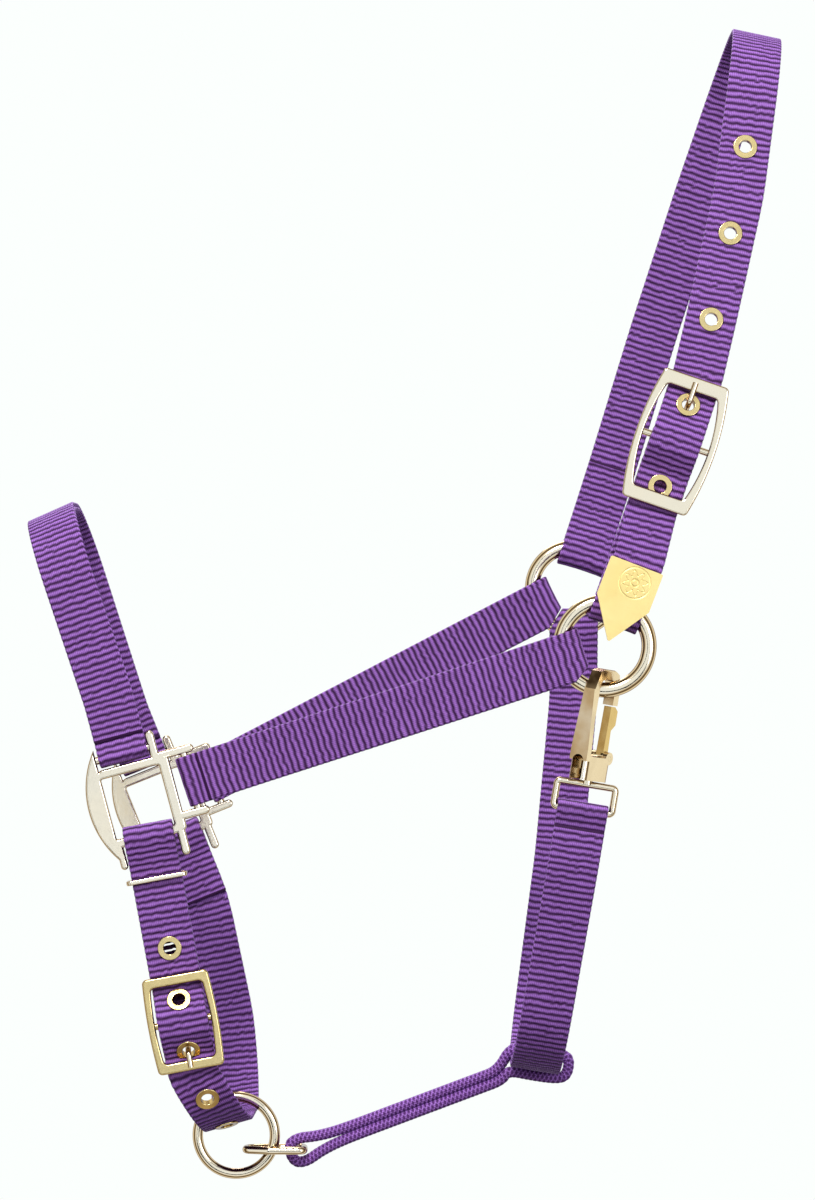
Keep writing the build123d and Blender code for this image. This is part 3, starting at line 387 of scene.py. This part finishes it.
def webbing_material(name, valley_shade, crest):
    material, tree, shader = principled(name)
    uv = tree.nodes.new("ShaderNodeUVMap")
    uv.uv_map = "UVMap"
    rib = tree.nodes.new("ShaderNodeAttribute")
    rib.attribute_name = "rib"
    group = tree.nodes.new("ShaderNodeGroup")
    group.node_tree = weave
    tree.links.new(uv.outputs["UV"], group.inputs["UV"])
    tree.links.new(rib.outputs["Fac"], group.inputs["Rib"])
    colour = mix_colour(tree, group.outputs["Tone"], valley_shade, crest)
    tree.links.new(colour, shader.inputs["Base Color"])
    bump(tree, shader, group.outputs["Height"], 0.55, 0.00025)
    shader.inputs["Roughness"].default_value = 0.62
    shader.inputs["Specular IOR Level"].default_value = 0.2
    shader.inputs["Sheen Weight"].default_value = 0.04
    shader.inputs["Sheen Roughness"].default_value = 0.4
    return material


def metal_material(name, colour, edge, rough, grain, bump_strength):
    """Polished metal with painted reflections: its base colour bands white, dark and gold-brown
    with the angle of view, as in a bright surround.
    """
    material, tree, shader = principled(name)
    place = tree.nodes.new("ShaderNodeTexCoord")
    group = tree.nodes.new("ShaderNodeGroup")
    group.node_tree = polish
    group.inputs["Scale"].default_value = grain
    tree.links.new(place.outputs["Object"], group.inputs["Vector"])
    toned = mix_colour(tree, group.outputs["Tone"], tuple(c * 0.86 for c in colour), colour)
    facing = tree.nodes.new("ShaderNodeLayerWeight")
    facing.inputs["Blend"].default_value = 0.5
    reflection_waver = math_node(tree, "MULTIPLY_ADD", group.outputs["Tone"], 0.16, -0.08)
    ramp = tree.nodes.new("ShaderNodeValToRGB")
    turned_away = math_node(tree, "ADD", facing.outputs["Facing"], reflection_waver, clamp=True)
    tree.links.new(turned_away, ramp.inputs["Fac"])
    # painted reflections along the angle of view: white facing, a dark band, pale gold, then the
    # rim colour
    reflection_stops = ((0.0, (1, 1, 1)), (0.09, (0.97, 0.93, 0.86)), (0.16, (0.55, 0.40, 0.24)),
             (0.22, (0.04, 0.022, 0.01)), (0.32, (0.25, 0.15, 0.06)), (0.46, (1, 0.86, 0.62)),
             (0.66, edge), (1.0, (0.06, 0.025, 0.01)))
    elements = ramp.color_ramp.elements
    for number, (at, tint) in enumerate(reflection_stops):
        stop = elements[number] if number < 2 else elements.new(at)
        stop.position, stop.color = at, (*tint, 1)
    reflected_tint = mix_colour(tree, 1.0, toned, ramp.outputs["Color"], "MULTIPLY")
    tree.links.new(reflected_tint, shader.inputs["Base Color"])
    shader.inputs["Metallic"].default_value = 1.0
    roughness = math_node(tree, "MULTIPLY_ADD", group.outputs["Rough"], rough, rough * 0.6)
    tree.links.new(roughness, shader.inputs["Roughness"])
    bump(tree, shader, group.outputs["Height"], bump_strength, 0.0002)
    return material


# first colour of each: painted shade in the hollows between ribs or braid strands; second: the
# webbing's own purple
webbing = webbing_material("webbing", (0.030, 0.003, 0.045), (0.385, 0.165, 0.610))
cord_cloth = webbing_material("cord_cloth", (0.085, 0.020, 0.140), (0.520, 0.240, 0.820))
# the second colour given to each metal is the gold-brown rim of its painted reflections
bright = metal_material("bright_brass", (0.93, 0.86, 0.72), (0.36, 0.20, 0.07), 0.12, 1.0, 0.10)
cast = metal_material("cast_brass", (0.94, 0.88, 0.76), (0.38, 0.22, 0.09), 0.16, 0.8, 0.22)
gold = metal_material("gold_brass", (0.82, 0.67, 0.34), (0.26, 0.15, 0.05), 0.20, 1.0, 0.15)
steel = metal_material("spring_steel", (0.55, 0.55, 0.56), (0.2, 0.2, 0.2), 0.25, 1.0, 0.1)


# ---- places, mm ----
NEAR_TILT, OFF_TILT = 15.0, 22.0
near_square_at, off_square_at = vec(-313, -52, -386.5), vec(-306, 52, -392.5)
near_ring, off_ring = vec(-79, -70, -309.3), vec(-89.3, 70, -280.4)
NOSE_TOP = vec(-358.5, 0, -243.5)
THROAT_LOW = vec(-112, 0, -524)
CHIN_LOW = vec(-267.6, 0, -552.75)
CLIP_END = vec(-230.5, 0, -568.5)


def on_square(centre, tilt, along, above):
    """Point of a square, from its middle, in the square's own tilt."""
    return centre + slope(tilt) * along + slope(tilt + 90) * above


near_nose_bar, near_cheek_bar, near_chin_bar = (
    on_square(near_square_at, NEAR_TILT, *at) for at in ((-0.8, 23.8), (28.5, 2.1), (1.2, -19.35)))
off_nose_bar, off_cheek_bar, off_chin_bar = (
    on_square(off_square_at, OFF_TILT, *at) for at in ((-0.8, 23.8), (28.5, 2.1), (1.2, -19.35)))


def loop_band(bar, away, out, face, cut, bar_radius):
    """Short layer round a hidden bar, with its ends tucked between the strap's layers."""
    radius = bar_radius + FIT + PLY / 2
    tight = radius - ARC_GAP
    corners = [(cut + 6, 0.5), (cut - 0.6, 0.5), (0.4, radius), (-radius, radius),
               (-radius, -radius), (0.4, -radius), (cut - 0.6, -0.5), (cut + 6, -0.5)]
    points = [bar + away * along + out * over for along, over in corners]
    return band(line(points, [3, 1.2, tight, tight, 1.2, 3], [face] * 8), PLY * 0.8)


def ring_turn(ring, away, out, face, layer, ply):
    """Strap's turn round a ring's wire, its ends `layer` to each side of the middle."""
    radius = WIRE_R + FIT + ply / 2
    inside = math.sqrt((RING_R - WIRE_R) ** 2 - HALF_WEB ** 2) + WIRE_R
    neck = RING_R + RING_NECK - inside
    return turn_round(ring + away * inside, away, out, radius, RING_REACH, neck,
                      layer, -layer, face, bowed=RING_BOW)


def over_buckle(middle, up, half, foot, head):
    """Places of a strap behind both end bars of a buckle and over its centre bar, foot first."""
    return [middle + up * along + NEAR * out for along, out in (
        (-half - 2, -SEATED), (-half + foot, -SEATED), (-4.5, OVER_BAR),
        (4.5, OVER_BAR), (half - head, -SEATED), (half + 2, -SEATED))]


# ---- noseband ----
near_leg, off_leg = slope(NEAR_TILT + 90), slope(OFF_TILT + 90)
nose_points = [near_nose_bar + near_leg * NOSE_CUT, near_nose_bar + near_leg * 28,
               NOSE_TOP + NEAR * 49, NOSE_TOP + OFF * 49,
               off_nose_bar + off_leg * 27.7, off_nose_bar + off_leg * NOSE_CUT]
nose_line = line(nose_points, [60, 36, 36, 60],
                 [slope(a) for a in (NEAR_TILT, 17, 24, 24, 19, OFF_TILT)])
piece("noseband", [
    band(shifted(nose_line, LAYER), PLY), band(shifted(nose_line, -LAYER), PLY),
    loop_band(near_nose_bar, near_leg, NEAR, slope(NEAR_TILT), NOSE_CUT, LOOP_BAR_R),
    loop_band(off_nose_bar, off_leg, OFF, slope(OFF_TILT), NOSE_CUT, LOOP_BAR_R),
], webbing, "noseband_strap")

# ---- cheek straps ----
NEAR_CORNER, OFF_CORNER = 232, 239    # direction of the seam between two straps on a ring


def cheek(name, bar, ring, out, corner, node):
    """Doubled strap from a square's hidden bar, round a cheek ring and back."""
    away = unit((ring - bar) * vec(1, 0, 1))
    across = vec(-away[2], 0, away[0])
    wire = ring - away * RING_R
    points = [bar + away * CHEEK_CUT, bar + away * 36,
              wire - away * (RING_NECK + 24), wire - away * RING_NECK]
    run = line(points, [120, 120], [across] * 4)
    outer_sign = 1 if np.cross(across, away) @ out > 0 else -1
    front, back = shifted(run, LAYER * outer_sign), shifted(run, -LAYER * outer_sign)
    bend = ring_turn(ring, -away, out, across, LAYER, PLY)
    strap = mitred(band(chain(front, bend, backwards(back)), PLY), ring, corner, 1)
    piece(name, [strap, loop_band(bar, away, out, across, CHEEK_CUT, LOOP_BAR_R)],
          webbing, node)


cheek("near_cheek", near_cheek_bar, near_ring, NEAR, NEAR_CORNER, "near_cheek_strap")
cheek("off_cheek", off_cheek_bar, off_ring, OFF, OFF_CORNER, "off_cheek_strap")

# ---- crown strap, from the tip through its buckle and over the poll ----
CROWN_HALF = 33.5         # half the buckle's length
crown_up, crown_across = slope(71.1), slope(-18.9)
crown_buckle_at = near_ring + NEAR * 8.5 + crown_up * 107
tip_at = near_ring + NEAR * 9.55 + slope(68.5) * 27
off_up, off_across = slope(72.3), slope(-17.7)
crown_points = [tip_at, tip_at + slope(69) * 20]
crown_points += over_buckle(crown_buckle_at, crown_up, CROWN_HALF, 17.5, 8)
crown_points += [vec(-26.5, -72, -148), vec(-11.8, -62, -84), vec(0.2, -50, 1.25),
                 vec(1.4, 50, 1.25), vec(-24.5, 60, -75), vec(-46.7, 68, -143.8),
                 off_ring + off_up * 68 + OFF * HALF_SINGLE,
                 off_ring + off_up * 38 + OFF * HALF_SINGLE]
crown_slopes = [-21.5, -20.5] + [-18.9] * 6 + [-16, -12.5, -12, -13, -19, -18.5, -17.7, -17.7]
crown_line = line(crown_points, [24, 20, 6, 6, 22, 22, 30, 200, 200, 44, 44, 200, 200, 120],
                  [slope(a) for a in crown_slopes])
off_bend = ring_turn(off_ring, off_up, OFF, off_across, HALF_SINGLE, SINGLE)
lap = line([off_ring + off_up * (RING_R + RING_NECK) + NEAR * HALF_SINGLE,
            off_ring + off_up * 68 + NEAR * HALF_SINGLE], [], [off_across] * 2)
crown = piece("crown", [band(chain(crown_line, off_bend, lap), SINGLE)],
              webbing, "crown_strap")

# ---- short crown strap, from the near ring to the crown buckle's bar ----
crown_bar = crown_buckle_at + OFF * BAR_SETBACK
short_foot = near_ring + crown_up * (RING_R + RING_NECK)
short_lead = unit(crown_up + NEAR * 0.47)      # the end leads in behind the bottom bar
short_top = crown_bar - short_lead * BAR_NECK
short_bend = short_top - crown_up * 10
short_bend[1] = near_ring[1]
short_line = line([short_foot, short_bend, short_top], [6], [crown_across] * 3)
bar_turn = turn_round(crown_bar, -short_lead, NEAR, BUCKLE_BAR_R + FIT + PLY / 2, *BUCKLE_TURN,
                      LAYER, -LAYER, crown_across)
ring_bend = ring_turn(near_ring, crown_up, NEAR, crown_across, LAYER, PLY)
short_strand = chain(backwards(bar_turn), backwards(shifted(short_line, LAYER)), ring_bend,
                     shifted(short_line, -LAYER))
piece("short_crown", [band(short_strand, PLY)], webbing, "near_crown_strap")

# ---- throat strap ----
snap_up, snap_across = slope(80.5), slope(-9.5)
EYE_DOWN = 60.6           # top of the snap's hook to the eye's lower bar
eye_low = near_ring + slope(-93) * RING_R - snap_up * EYE_DOWN
throat_points = [eye_low - snap_up * EYE_CUT, eye_low - snap_up * (BAR_NECK + 14),
                 THROAT_LOW + vec(-0.5, -50, 0), THROAT_LOW + vec(0.5, 50, 0),
                 vec(-97.3, 64, -421), off_ring - UP * 57.6, off_ring - UP * (RING_R + RING_NECK)]
throat_line = line(throat_points, [60, 42, 42, 200, 120],
                   [slope(a) for a in (-9.5, -9.5, -9.5, -9.5, -7, 0, 0)])
throat_bend = ring_turn(off_ring, -UP, OFF, slope(0), LAYER, PLY)
throat_strand = chain(shifted(throat_line, -LAYER), throat_bend,
                      backwards(shifted(throat_line, LAYER)))
piece("throat", [
    mitred(band(throat_strand, PLY), off_ring, OFF_CORNER, -1),
    loop_band(eye_low, -snap_up, NEAR, snap_across, EYE_CUT, BUCKLE_BAR_R),
], webbing, "throat_strap")

# ---- chin strap, from its buckle's bar round the near square, then down to the off square ----
CHIN_DROP = 94.6          # near square's bottom bar down to the buckle's centre bar
CHIN_HALF = 24.25         # half the buckle's length
BACK_LEG, FRONT_LEG = -50.25, -53.75
chin_up, chin_across = slope(100.5), slope(10.5)
chin_away, chin_face = slope(OFF_TILT - 90), slope(OFF_TILT)
chin_buckle_at = near_chin_bar - chin_up * CHIN_DROP
chin_buckle_at[1] = FRONT_LEG - SEATED
chin_bar = chin_buckle_at + OFF * BAR_SETBACK
chin_lead = unit(chin_up + OFF * 0.385)        # the end leads in behind the top bar


def below_bar(distance, y):
    """Point on the chin strap's line below the near square's bottom bar."""
    return (near_chin_bar - chin_up * distance) * vec(1, 0, 1) + vec(0, y, 0)


bar_y = near_chin_bar[1]
chin_points = [chin_bar + chin_lead * BAR_NECK, below_bar(CHIN_DROP - CHIN_HALF - 6, BACK_LEG),
               below_bar(17, BACK_LEG), below_bar(2, bar_y + WRAP),
               below_bar(-WRAP, bar_y + WRAP), below_bar(-WRAP, bar_y - WRAP),
               below_bar(2, bar_y - WRAP), below_bar(16, FRONT_LEG)]
chin_points += over_buckle(chin_buckle_at, chin_up, CHIN_HALF, 8, 8)[::-1]
chin_points += [CHIN_LOW + vec(-1.4, -46, 0), CHIN_LOW + vec(1.4, 46, 0), vec(-270.5, 51, -506),
                off_chin_bar + chin_away * (BAR_NECK + 24) + OFF * HALF_SINGLE,
                off_chin_bar + chin_away * BAR_NECK + OFF * HALF_SINGLE]
chin_line = line(chin_points, [20, 30, 8, WRAP - ARC_GAP, WRAP - ARC_GAP, 8, 30, 8, 6, 5, 5, 6,
                               20, 34, 34, 120, 120],
                 [slope(a) for a in [10.5] * 14 + [15.8, 15.8, 14, OFF_TILT, OFF_TILT]])
chin_turn = turn_round(off_chin_bar, chin_away, OFF, RAIL_REACH + FIT + HALF_SINGLE, 2.0, 13.74,
                       HALF_SINGLE, -HALF_SINGLE, chin_face)
chin_lap = line([off_chin_bar + chin_away * 13.8 + NEAR * HALF_SINGLE,
                 off_chin_bar + chin_away * 36 + NEAR * HALF_SINGLE], [], [chin_face] * 2)
chin_bar_turn = turn_round(chin_bar, chin_lead, NEAR, BUCKLE_BAR_R + FIT + HALF_SINGLE,
                           *BUCKLE_TURN, 1.4, -0.6, chin_across)
chin = piece("chin", [band(chain(chin_bar_turn, chin_line, chin_turn, chin_lap), SINGLE)],
             webbing, "chin_strap")


# ---- eyelet holes through the single straps ----
def eyelet_places(node):
    """Middle of each eyelet of a node, read from its mesh."""
    mesh = nodes[node].data
    left = np.empty(len(mesh.vertices) * 3)
    mesh.vertices.foreach_get("co", left)
    left = left.reshape(-1, 3) / MM
    places = []
    while len(left):
        one = np.linalg.norm(left - left[0], axis=1) < EYELET_SPAN
        places.append((left[one].min(axis=0) + left[one].max(axis=0)) / 2)
        left = left[~one]
    return places


def punched(strap, holes, strand):
    """Round holes through a strap, one at each eyelet."""
    places, across, _ = spaced(strand, 1.0)
    normal = frames(places, across)[1]
    bpy.ops.object.select_all(action="DESELECT")
    for place in holes:
        nearest = int(np.argmin(np.linalg.norm(places - place, axis=1)))
        bpy.ops.mesh.primitive_cylinder_add(vertices=32, radius=HOLE_R * MM,
                                            depth=CUTTER_LONG * MM)
        cutter = bpy.context.object
        cutter.rotation_mode = "QUATERNION"
        cutter.rotation_quaternion = Vector(normal[nearest]).to_track_quat("Z", "Y")
        cutter.location = place * MM
        bpy.context.view_layer.update()
        bpy.ops.object.select_all(action="DESELECT")
        bpy.context.view_layer.objects.active = strap
        strap.select_set(True)
        modifier = strap.modifiers.new("hole", "BOOLEAN")
        modifier.operation = "DIFFERENCE"
        modifier.solver = "EXACT"
        modifier.object = cutter
        bpy.ops.object.modifier_apply(modifier=modifier.name)
        bpy.data.objects.remove(cutter, do_unlink=True)


punched(crown, eyelet_places("crown_eyelets"), crown_line)
punched(chin, eyelet_places("chin_eyelets"), chin_line)


# ---- cord connector ----
CORD_STEP = 0.45          # spacing of the rows of its mesh
CORD_SIDES = 24
CORD_LAY = 9.0            # length in which a strand goes once round
BRAID_DEPTH = 0.42
CORD_TURN = 0.157         # once round the cord, on its UV map


def cord_mesh(route):
    """Braided tube along a closed smooth line led by the control points."""
    data = bpy.data.curves.new("cord_route", "CURVE")
    data.dimensions = "3D"
    data.resolution_u = 24
    spline = data.splines.new("NURBS")
    spline.points.add(len(route) - 1)
    for point, place in zip(spline.points, route):
        point.co = (*place, 1.0)
    spline.order_u = 3
    spline.use_cyclic_u = True
    holder = bpy.data.objects.new("cord_route", data)
    bpy.context.scene.collection.objects.link(holder)
    bpy.context.view_layer.update()
    evaluated = holder.evaluated_get(bpy.context.evaluated_depsgraph_get())
    flat = bpy.data.meshes.new_from_object(evaluated)
    middle = np.array([v.co[:] for v in flat.vertices])
    bpy.data.objects.remove(holder, do_unlink=True)
    middle = np.concatenate([middle, middle[:1]])
    travel = np.append(0, np.cumsum(np.linalg.norm(np.diff(middle, axis=0), axis=1)))
    count = round(travel[-1] / CORD_STEP)
    marks = np.linspace(0, travel[-1], count, endpoint=False)
    middle = np.stack([np.interp(marks, travel, middle[:, i]) for i in range(3)], axis=1)
    heading = np.roll(middle, -1, axis=0) - np.roll(middle, 1, axis=0)
    heading /= np.linalg.norm(heading, axis=1)[:, None]
    side = np.cross(heading, vec(0, 1, 0))
    side /= np.linalg.norm(side, axis=1)[:, None]
    lift = np.cross(side, heading)
    angles = np.linspace(0, 2 * np.pi, CORD_SIDES, endpoint=False)
    lays = round(travel[-1] / CORD_LAY)
    lay = marks / travel[-1] * lays * 2 * np.pi
    left = np.abs(np.sin(2 * (angles[None, :] + lay[:, None])))
    right = np.abs(np.sin(2 * (angles[None, :] - lay[:, None])))
    raised = np.maximum(left, right)
    radius = CORD_R - BRAID_DEPTH * (1 - raised)
    outward = (np.cos(angles)[None, :, None] * side[:, None, :]
               + np.sin(angles)[None, :, None] * lift[:, None, :])
    ring = middle[:, None, :] + radius[:, :, None] * outward
    index = np.arange(count * CORD_SIDES).reshape(count, CORD_SIDES)
    ahead = np.roll(index, -1, axis=0)
    turned = np.roll(index, -1, axis=1)
    both = np.roll(ahead, -1, axis=1)
    quads = np.stack([index, ahead, both, turned], axis=-1).reshape(-1, 4)
    uv = np.stack([np.broadcast_to(angles / (2 * np.pi) * CORD_TURN, raised.shape),
                   np.broadcast_to(marks[:, None] / 100, raised.shape)], axis=-1)
    # the last array, the braid's raised share, sets painted shade in the hollows between strands
    # through the material
    return ring.reshape(-1, 3), quads.tolist(), uv.reshape(-1, 2), (raised ** 2).reshape(-1)


cord_line = unit(CLIP_END - THROAT_LOW)
cord_side = vec(cord_line[2], 0, -cord_line[0])
web_line, web_side = slope(-9.5), slope(80.5)
room, low = HALF_WEB + FIT + CORD_R, SINGLE + FIT + CORD_R
length = np.linalg.norm(CLIP_END - THROAT_LOW)
leg_marks = [19, 30, 60, 80, length - 20]


def led(start, along, beside, marks):
    """Control points of the cord, each so far along and beside a line."""
    return [start + along * a + beside * b for a, b in marks]


cord_route = led(THROAT_LOW, web_line, web_side,
                 ((room - 3, low + 0.8), (0, low + 1.2), (-room + 3, low + 0.8)))
cord_route += led(THROAT_LOW, cord_line, cord_side, [(a, LEG) for a in leg_marks])
cord_route += led(CLIP_END, cord_line, cord_side,
                  ((-8, 4.0), (1, 6.5), (7, 4.5), (7, -4.5), (1, -6.5), (-8, -4.0)))
cord_route += led(THROAT_LOW, cord_line, cord_side, [(a, -LEG) for a in leg_marks[::-1]])
cord_route += led(THROAT_LOW, web_line, web_side,
                  ((-room + 3, -low - 0.6), (0, -low - 1.0), (room - 3, -low - 0.6),
                   (room + 1.6, -low + 2), (room + 1.6, low - 1)))
piece("connector", [cord_mesh(cord_route)], cord_cloth, "throat_connector")

# ---- hardware ----
finishes = {
    "near_square": cast, "off_square": cast, "near_cheek_ring": bright, "off_cheek_ring": bright,
    "crown_eyelets": gold, "chin_eyelets": gold, "crown_buckle_frame": bright,
    "crown_buckle_tongue": bright, "snap_body": cast, "snap_gate": gold, "snap_gate_pin": bright,
    "snap_gate_spring": steel, "snap_eye": bright, "chin_buckle_frame": gold,
    "chin_buckle_tongue": bright, "chin_keeper": bright, "chin_ring": bright,
    "connector_clip": bright}

# the tip's own finish: satin pale gold with a pressed rosette of eight petals
ROSETTE_X, ROSETTE_Z, ROSETTE_R = -64.6, -278.1, 8.0
tip_gold, tip_tree, tip_shader = principled("tip_gold")


def tip_math(operation, *values, clamp=False):
    return math_node(tip_tree, operation, *values, clamp=clamp)


def pressed_line(distance, sharpness):
    """1 on a line of the rosette, falling to 0 beside it."""
    beside = tip_math("MULTIPLY", tip_math("ABSOLUTE", distance), sharpness)
    return tip_math("SUBTRACT", 1.0, beside, clamp=True)


tip_place = tip_tree.nodes.new("ShaderNodeTexCoord")
tip_parts = tip_tree.nodes.new("ShaderNodeSeparateXYZ")
tip_tree.links.new(tip_place.outputs["Object"], tip_parts.inputs[0])
dx = tip_math("SUBTRACT", tip_parts.outputs["X"], ROSETTE_X * MM)
dz = tip_math("SUBTRACT", tip_parts.outputs["Z"], ROSETTE_Z * MM)
squares = tip_math("ADD", tip_math("MULTIPLY", dx, dx), tip_math("MULTIPLY", dz, dz))
share = tip_math("DIVIDE", tip_math("POWER", squares, 0.5), ROSETTE_R * MM)
petal = tip_math("COSINE", tip_math("MULTIPLY", tip_math("ARCTAN2", dz, dx), 8.0))
petal = tip_math("MULTIPLY_ADD", petal, 0.16, 0.62)
petal_line = pressed_line(tip_math("SUBTRACT", share, petal), 14.0)
rim_line = pressed_line(tip_math("SUBTRACT", share, 0.97), 16.0)
hub_line = pressed_line(tip_math("SUBTRACT", share, 0.22), 12.0)
pressed = tip_math("MAXIMUM", petal_line, tip_math("MAXIMUM", rim_line, hub_line))
tip_polish = tip_tree.nodes.new("ShaderNodeGroup")
tip_polish.node_tree = polish
tip_tree.links.new(tip_place.outputs["Object"], tip_polish.inputs["Vector"])
tip_base = mix_colour(tip_tree, tip_polish.outputs["Tone"], (0.80, 0.62, 0.22), (0.93, 0.76, 0.34))
# painted shade: the pressed lines darken towards brown gold, as shade in their grooves
tip_colour = mix_colour(tip_tree, tip_math("MULTIPLY", pressed, 0.45), tip_base, (0.55, 0.38, 0.10))
tip_tree.links.new(tip_colour, tip_shader.inputs["Base Color"])
tip_shader.inputs["Metallic"].default_value = 0.55
tip_rough = tip_math("MULTIPLY_ADD", tip_polish.outputs["Rough"], 0.25, 0.3)
tip_tree.links.new(tip_rough, tip_shader.inputs["Roughness"])
bump(tip_tree, tip_shader, tip_math("MULTIPLY", pressed, -1.0), 0.6, 0.0003)
finishes["crown_tip"] = tip_gold

for node, finish in finishes.items():
    shown = nodes[node]
    shown.data.materials.clear()
    shown.data.materials.append(finish)

# ---- world, lamps and camera ----
world = bpy.data.worlds.new("studio")
bpy.context.scene.world = world
world.use_nodes = True
sky = world.node_tree
back = next(n for n in sky.nodes if n.type == "BACKGROUND")
path = sky.nodes.new("ShaderNodeLightPath")
rays = [path.outputs[f"Is {kind} Ray"] for kind in ("Camera", "Glossy", "Transmission")]
seen = math_node(sky, "ADD", rays[0], rays[1], clamp=True)
seen = math_node(sky, "ADD", seen, rays[2], clamp=True)
direction = sky.nodes.new("ShaderNodeTexCoord")
direction_parts = sky.nodes.new("ShaderNodeSeparateXYZ")
sky.links.new(direction.outputs["Generated"], direction_parts.inputs[0])
upward = math_node(sky, "MULTIPLY_ADD", direction_parts.outputs["Z"], 0.75, 0.42, clamp=True)
dome = mix_colour(sky, upward, (0.03, 0.008, 0.012), (0.92, 0.94, 1.0))
backdrop = mix_colour(sky, seen, dome, (0.97, 1.0, 0.985))
sky.links.new(backdrop, back.inputs["Color"])


LAMP_TARGET = (-0.18, 0.0, -0.29)


def lamp(name, place, size, power, colour):
    data = bpy.data.lights.new(name, "AREA")
    data.shape = "DISK"
    data.size = size
    data.energy = power
    data.color = colour
    obj = bpy.data.objects.new(name, data)
    obj.location = place
    obj.rotation_mode = "QUATERNION"
    obj.rotation_quaternion = (Vector(LAMP_TARGET) - Vector(place)).to_track_quat("-Z", "Y")
    bpy.context.scene.collection.objects.link(obj)


lamp("key", (-0.5, -1.3, 0.9), 0.5, 26, (1.0, 0.98, 0.95))
lamp("fill", (0.9, -1.4, -0.2), 0.9, 8, (0.93, 0.95, 1.0))
lamp("rear", (-0.4, 1.3, 0.7), 0.7, 12, (1.0, 1.0, 1.0))

# dark cards beside the camera, seen only in the metal
card_material, _, card_shader = principled("card")
card_shader.inputs["Base Color"].default_value = (0.004, 0.003, 0.003, 1)
card_shader.inputs["Roughness"].default_value = 1.0
card_shader.inputs["Specular IOR Level"].default_value = 0.0
for name, place, width, height in (("card_a", (-0.75, -1.5, -0.3), 0.22, 2.4),
                                   ("card_b", (0.55, -1.7, -0.3), 0.3, 2.4),
                                   ("card_c", (-0.2, -1.9, -1.15), 2.6, 0.5)):
    bpy.ops.object.select_all(action="DESELECT")
    bpy.ops.mesh.primitive_plane_add(size=1, location=place, rotation=(math.pi / 2, 0, 0))
    card = bpy.context.object
    card.name = name
    card.scale = (width, height, 1)
    card.data.materials.append(card_material)
    card.visible_camera = False
    card.visible_shadow = False
    card.visible_diffuse = False

camera_data = bpy.data.cameras.new("camera")
camera = bpy.data.objects.new("camera", camera_data)
bpy.context.scene.collection.objects.link(camera)
CAMERA_AWAY = 2.2         # metres from the near side of the straps
camera.location = (-0.17725, -0.06 - CAMERA_AWAY, -0.2865)
camera.rotation_euler = (math.pi / 2, 0, 0)
camera_data.sensor_fit = "AUTO"
SENSOR, VIEW_HEIGHT = 36.0, 0.6
camera_data.sensor_width = SENSOR
camera_data.lens = SENSOR * CAMERA_AWAY / VIEW_HEIGHT
camera_data.clip_start, camera_data.clip_end = 0.05, 20
bpy.context.scene.camera = camera
bpy.context.scene.view_settings.view_transform = "Standard"
